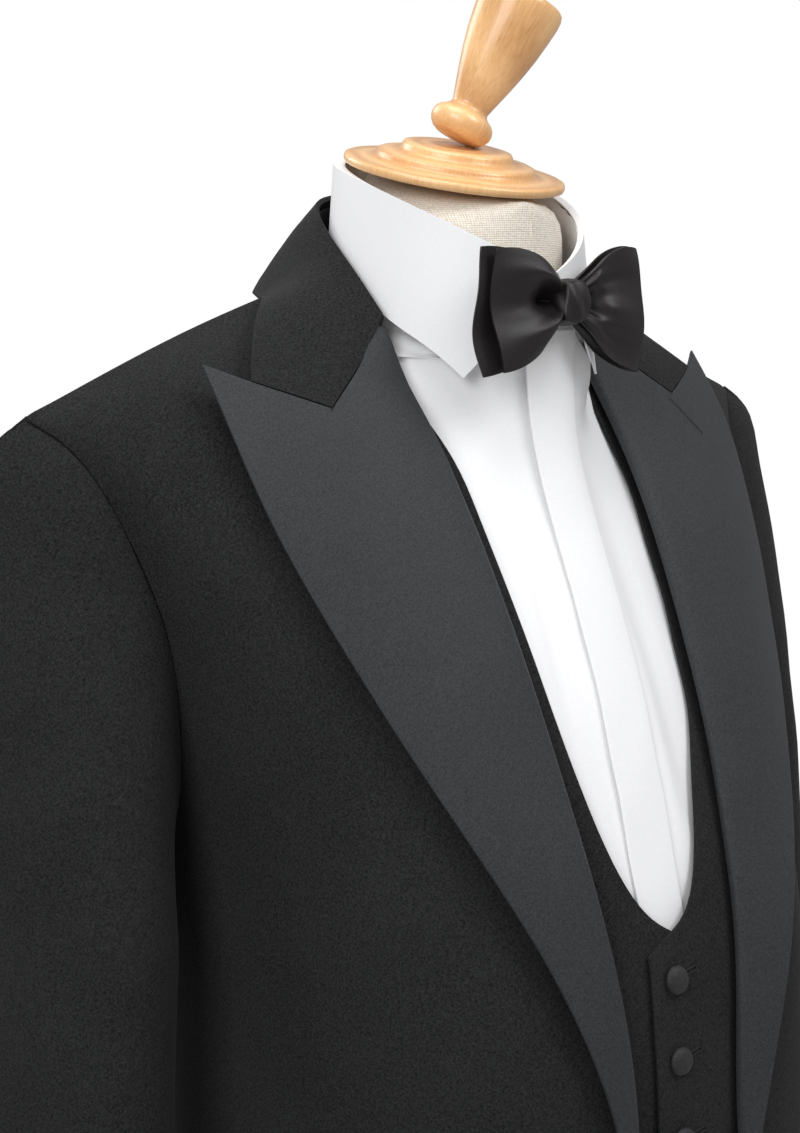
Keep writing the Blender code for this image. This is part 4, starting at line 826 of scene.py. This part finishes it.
def holeLoop(start, end, half):  # the outline of a worked buttonhole, as x and z
    start, end = np.array(start), np.array(end)
    along = (end - start) / np.linalg.norm(end - start)
    beside = np.array([-along[1], along[0]])
    loop = [start + beside * half, end + beside * half]
    loop += [end + (along * np.sin(a) + beside * np.cos(a)) * half * handwork["end"]
             for a in np.linspace(*handwork["arc"])]
    loop += [end - beside * half, start - beside * half, start + beside * half]
    return np.array(loop)


def densely(points):
    result = []
    for a, b in zip(points, points[1:]):
        count = max(int(np.linalg.norm(b - a) / handwork["step"]), 1)
        result += [a + (b - a) * k / count for k in range(count)]
    return result + [points[-1]]


def holeOn(tree, start, end, half, lift):  # the thread round a buttonhole, laid on a piece
    return [onSurface(tree, x, z, lift) for x, z in densely(holeLoop(start, end, half))]


def makeButtonholes():
    left = surfaceOf(made["waistcoat_front_left_cloth"])
    (startX, startRise), (endX, endRise), half = handwork["waistcoat"]
    for k in (1, 2, 3, 4):
        low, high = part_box("waistcoat_button_%d" % k)
        z = (low[2] + high[2]) / 2
        points = holeOn(left, (startX, z + startRise), (endX, z + endRise), half,
                        handwork["lift"])
        strand("waistcoat_buttonhole_%d" % k, points, "thread", handwork["strand"])
    front = surfaceOf(made["jacket_front_left_cloth"])
    points = holeOn(front, *handwork["jacket"], handwork["lift"])
    strand("jacket_buttonhole", points, "thread", handwork["strand"])
    lapel = made["lapel_left_cloth"]
    start, end = [throughPixel(lapel, pixel) for pixel in handwork["lapel"][:2]]
    points = holeOn(surfaceOf(lapel), (start.x, start.z), (end.x, end.z),
                    handwork["lapel"][2], 0.0)
    strand("lapel_buttonhole", points, "lapelFacing", handwork["fine"])
    print("buttonholes done")


makeCamera()
sewPieces()
declareSheets()
makeBow()
makeWood()
makeForm()
makeButtons()
makeButtonholes()
bpy.context.scene.view_settings.view_transform = "Standard"


# Plain studio: the white that is seen behind, the weaker light that it gives, what the lamps
# point at, and the floor's half width, grey and roughness

studio = {"wall": 1.0, "soft": 0.39, "aim": (0, 0, 1.25), "floor": 2, "grey": 0.72, "rough": 0.9}
# Lamps: name, watts, place, size
lamps = [("key", 26, (0.75, -1.75, 2.95), 1.1), ("fill", 50, (-2.7, -1.2, 2.6), 1.6),
         ("top", 17, (-0.35, -0.25, 3.10), 1.2), ("back", 26, (-0.6, 2.5, 3.0), 1.5)]


def makeStudio():
    world = bpy.data.worlds.new("studio")
    world.use_nodes = True
    tree = world.node_tree
    wall = tree.nodes["Background"]
    wall.inputs["Color"].default_value = (1, 1, 1, 1)
    path = tree.nodes.new("ShaderNodeLightPath")
    level = addNode(tree, "ShaderNodeMapRange")
    level.inputs["To Min"].default_value = studio["soft"]
    level.inputs["To Max"].default_value = studio["wall"]
    tree.links.new(path.outputs["Is Camera Ray"], level.inputs["Value"])
    tree.links.new(level.outputs["Result"], wall.inputs["Strength"])
    bpy.context.scene.world = world
    for name, energy, place, size in lamps:
        lamp = bpy.data.lights.new(name, "AREA")
        lamp.energy = energy
        lamp.size = size
        thing = bpy.data.objects.new(name, lamp)
        bpy.context.scene.collection.objects.link(thing)
        aim = (Vector(studio["aim"]) - Vector(place)).to_track_quat("-Z", "Y")
        thing.matrix_world = Matrix.Translation(place) @ aim.to_matrix().to_4x4()
    mesh = bpy.data.meshes.new("floor")
    half, grey = studio["floor"], studio["grey"]
    mesh.from_pydata([(-half, -half, 0), (half, -half, 0), (half, half, 0), (-half, half, 0)], [],
                     [(0, 1, 2, 3)])
    material, _, shader = nodeTree("pale floor")
    shader.inputs["Base Color"].default_value = (grey, grey, grey, 1)
    shader.inputs["Roughness"].default_value = studio["rough"]
    mesh.materials.append(material)
    floor = bpy.data.objects.new("floor", mesh)
    bpy.context.scene.collection.objects.link(floor)
    print("studio done")


makeStudio()
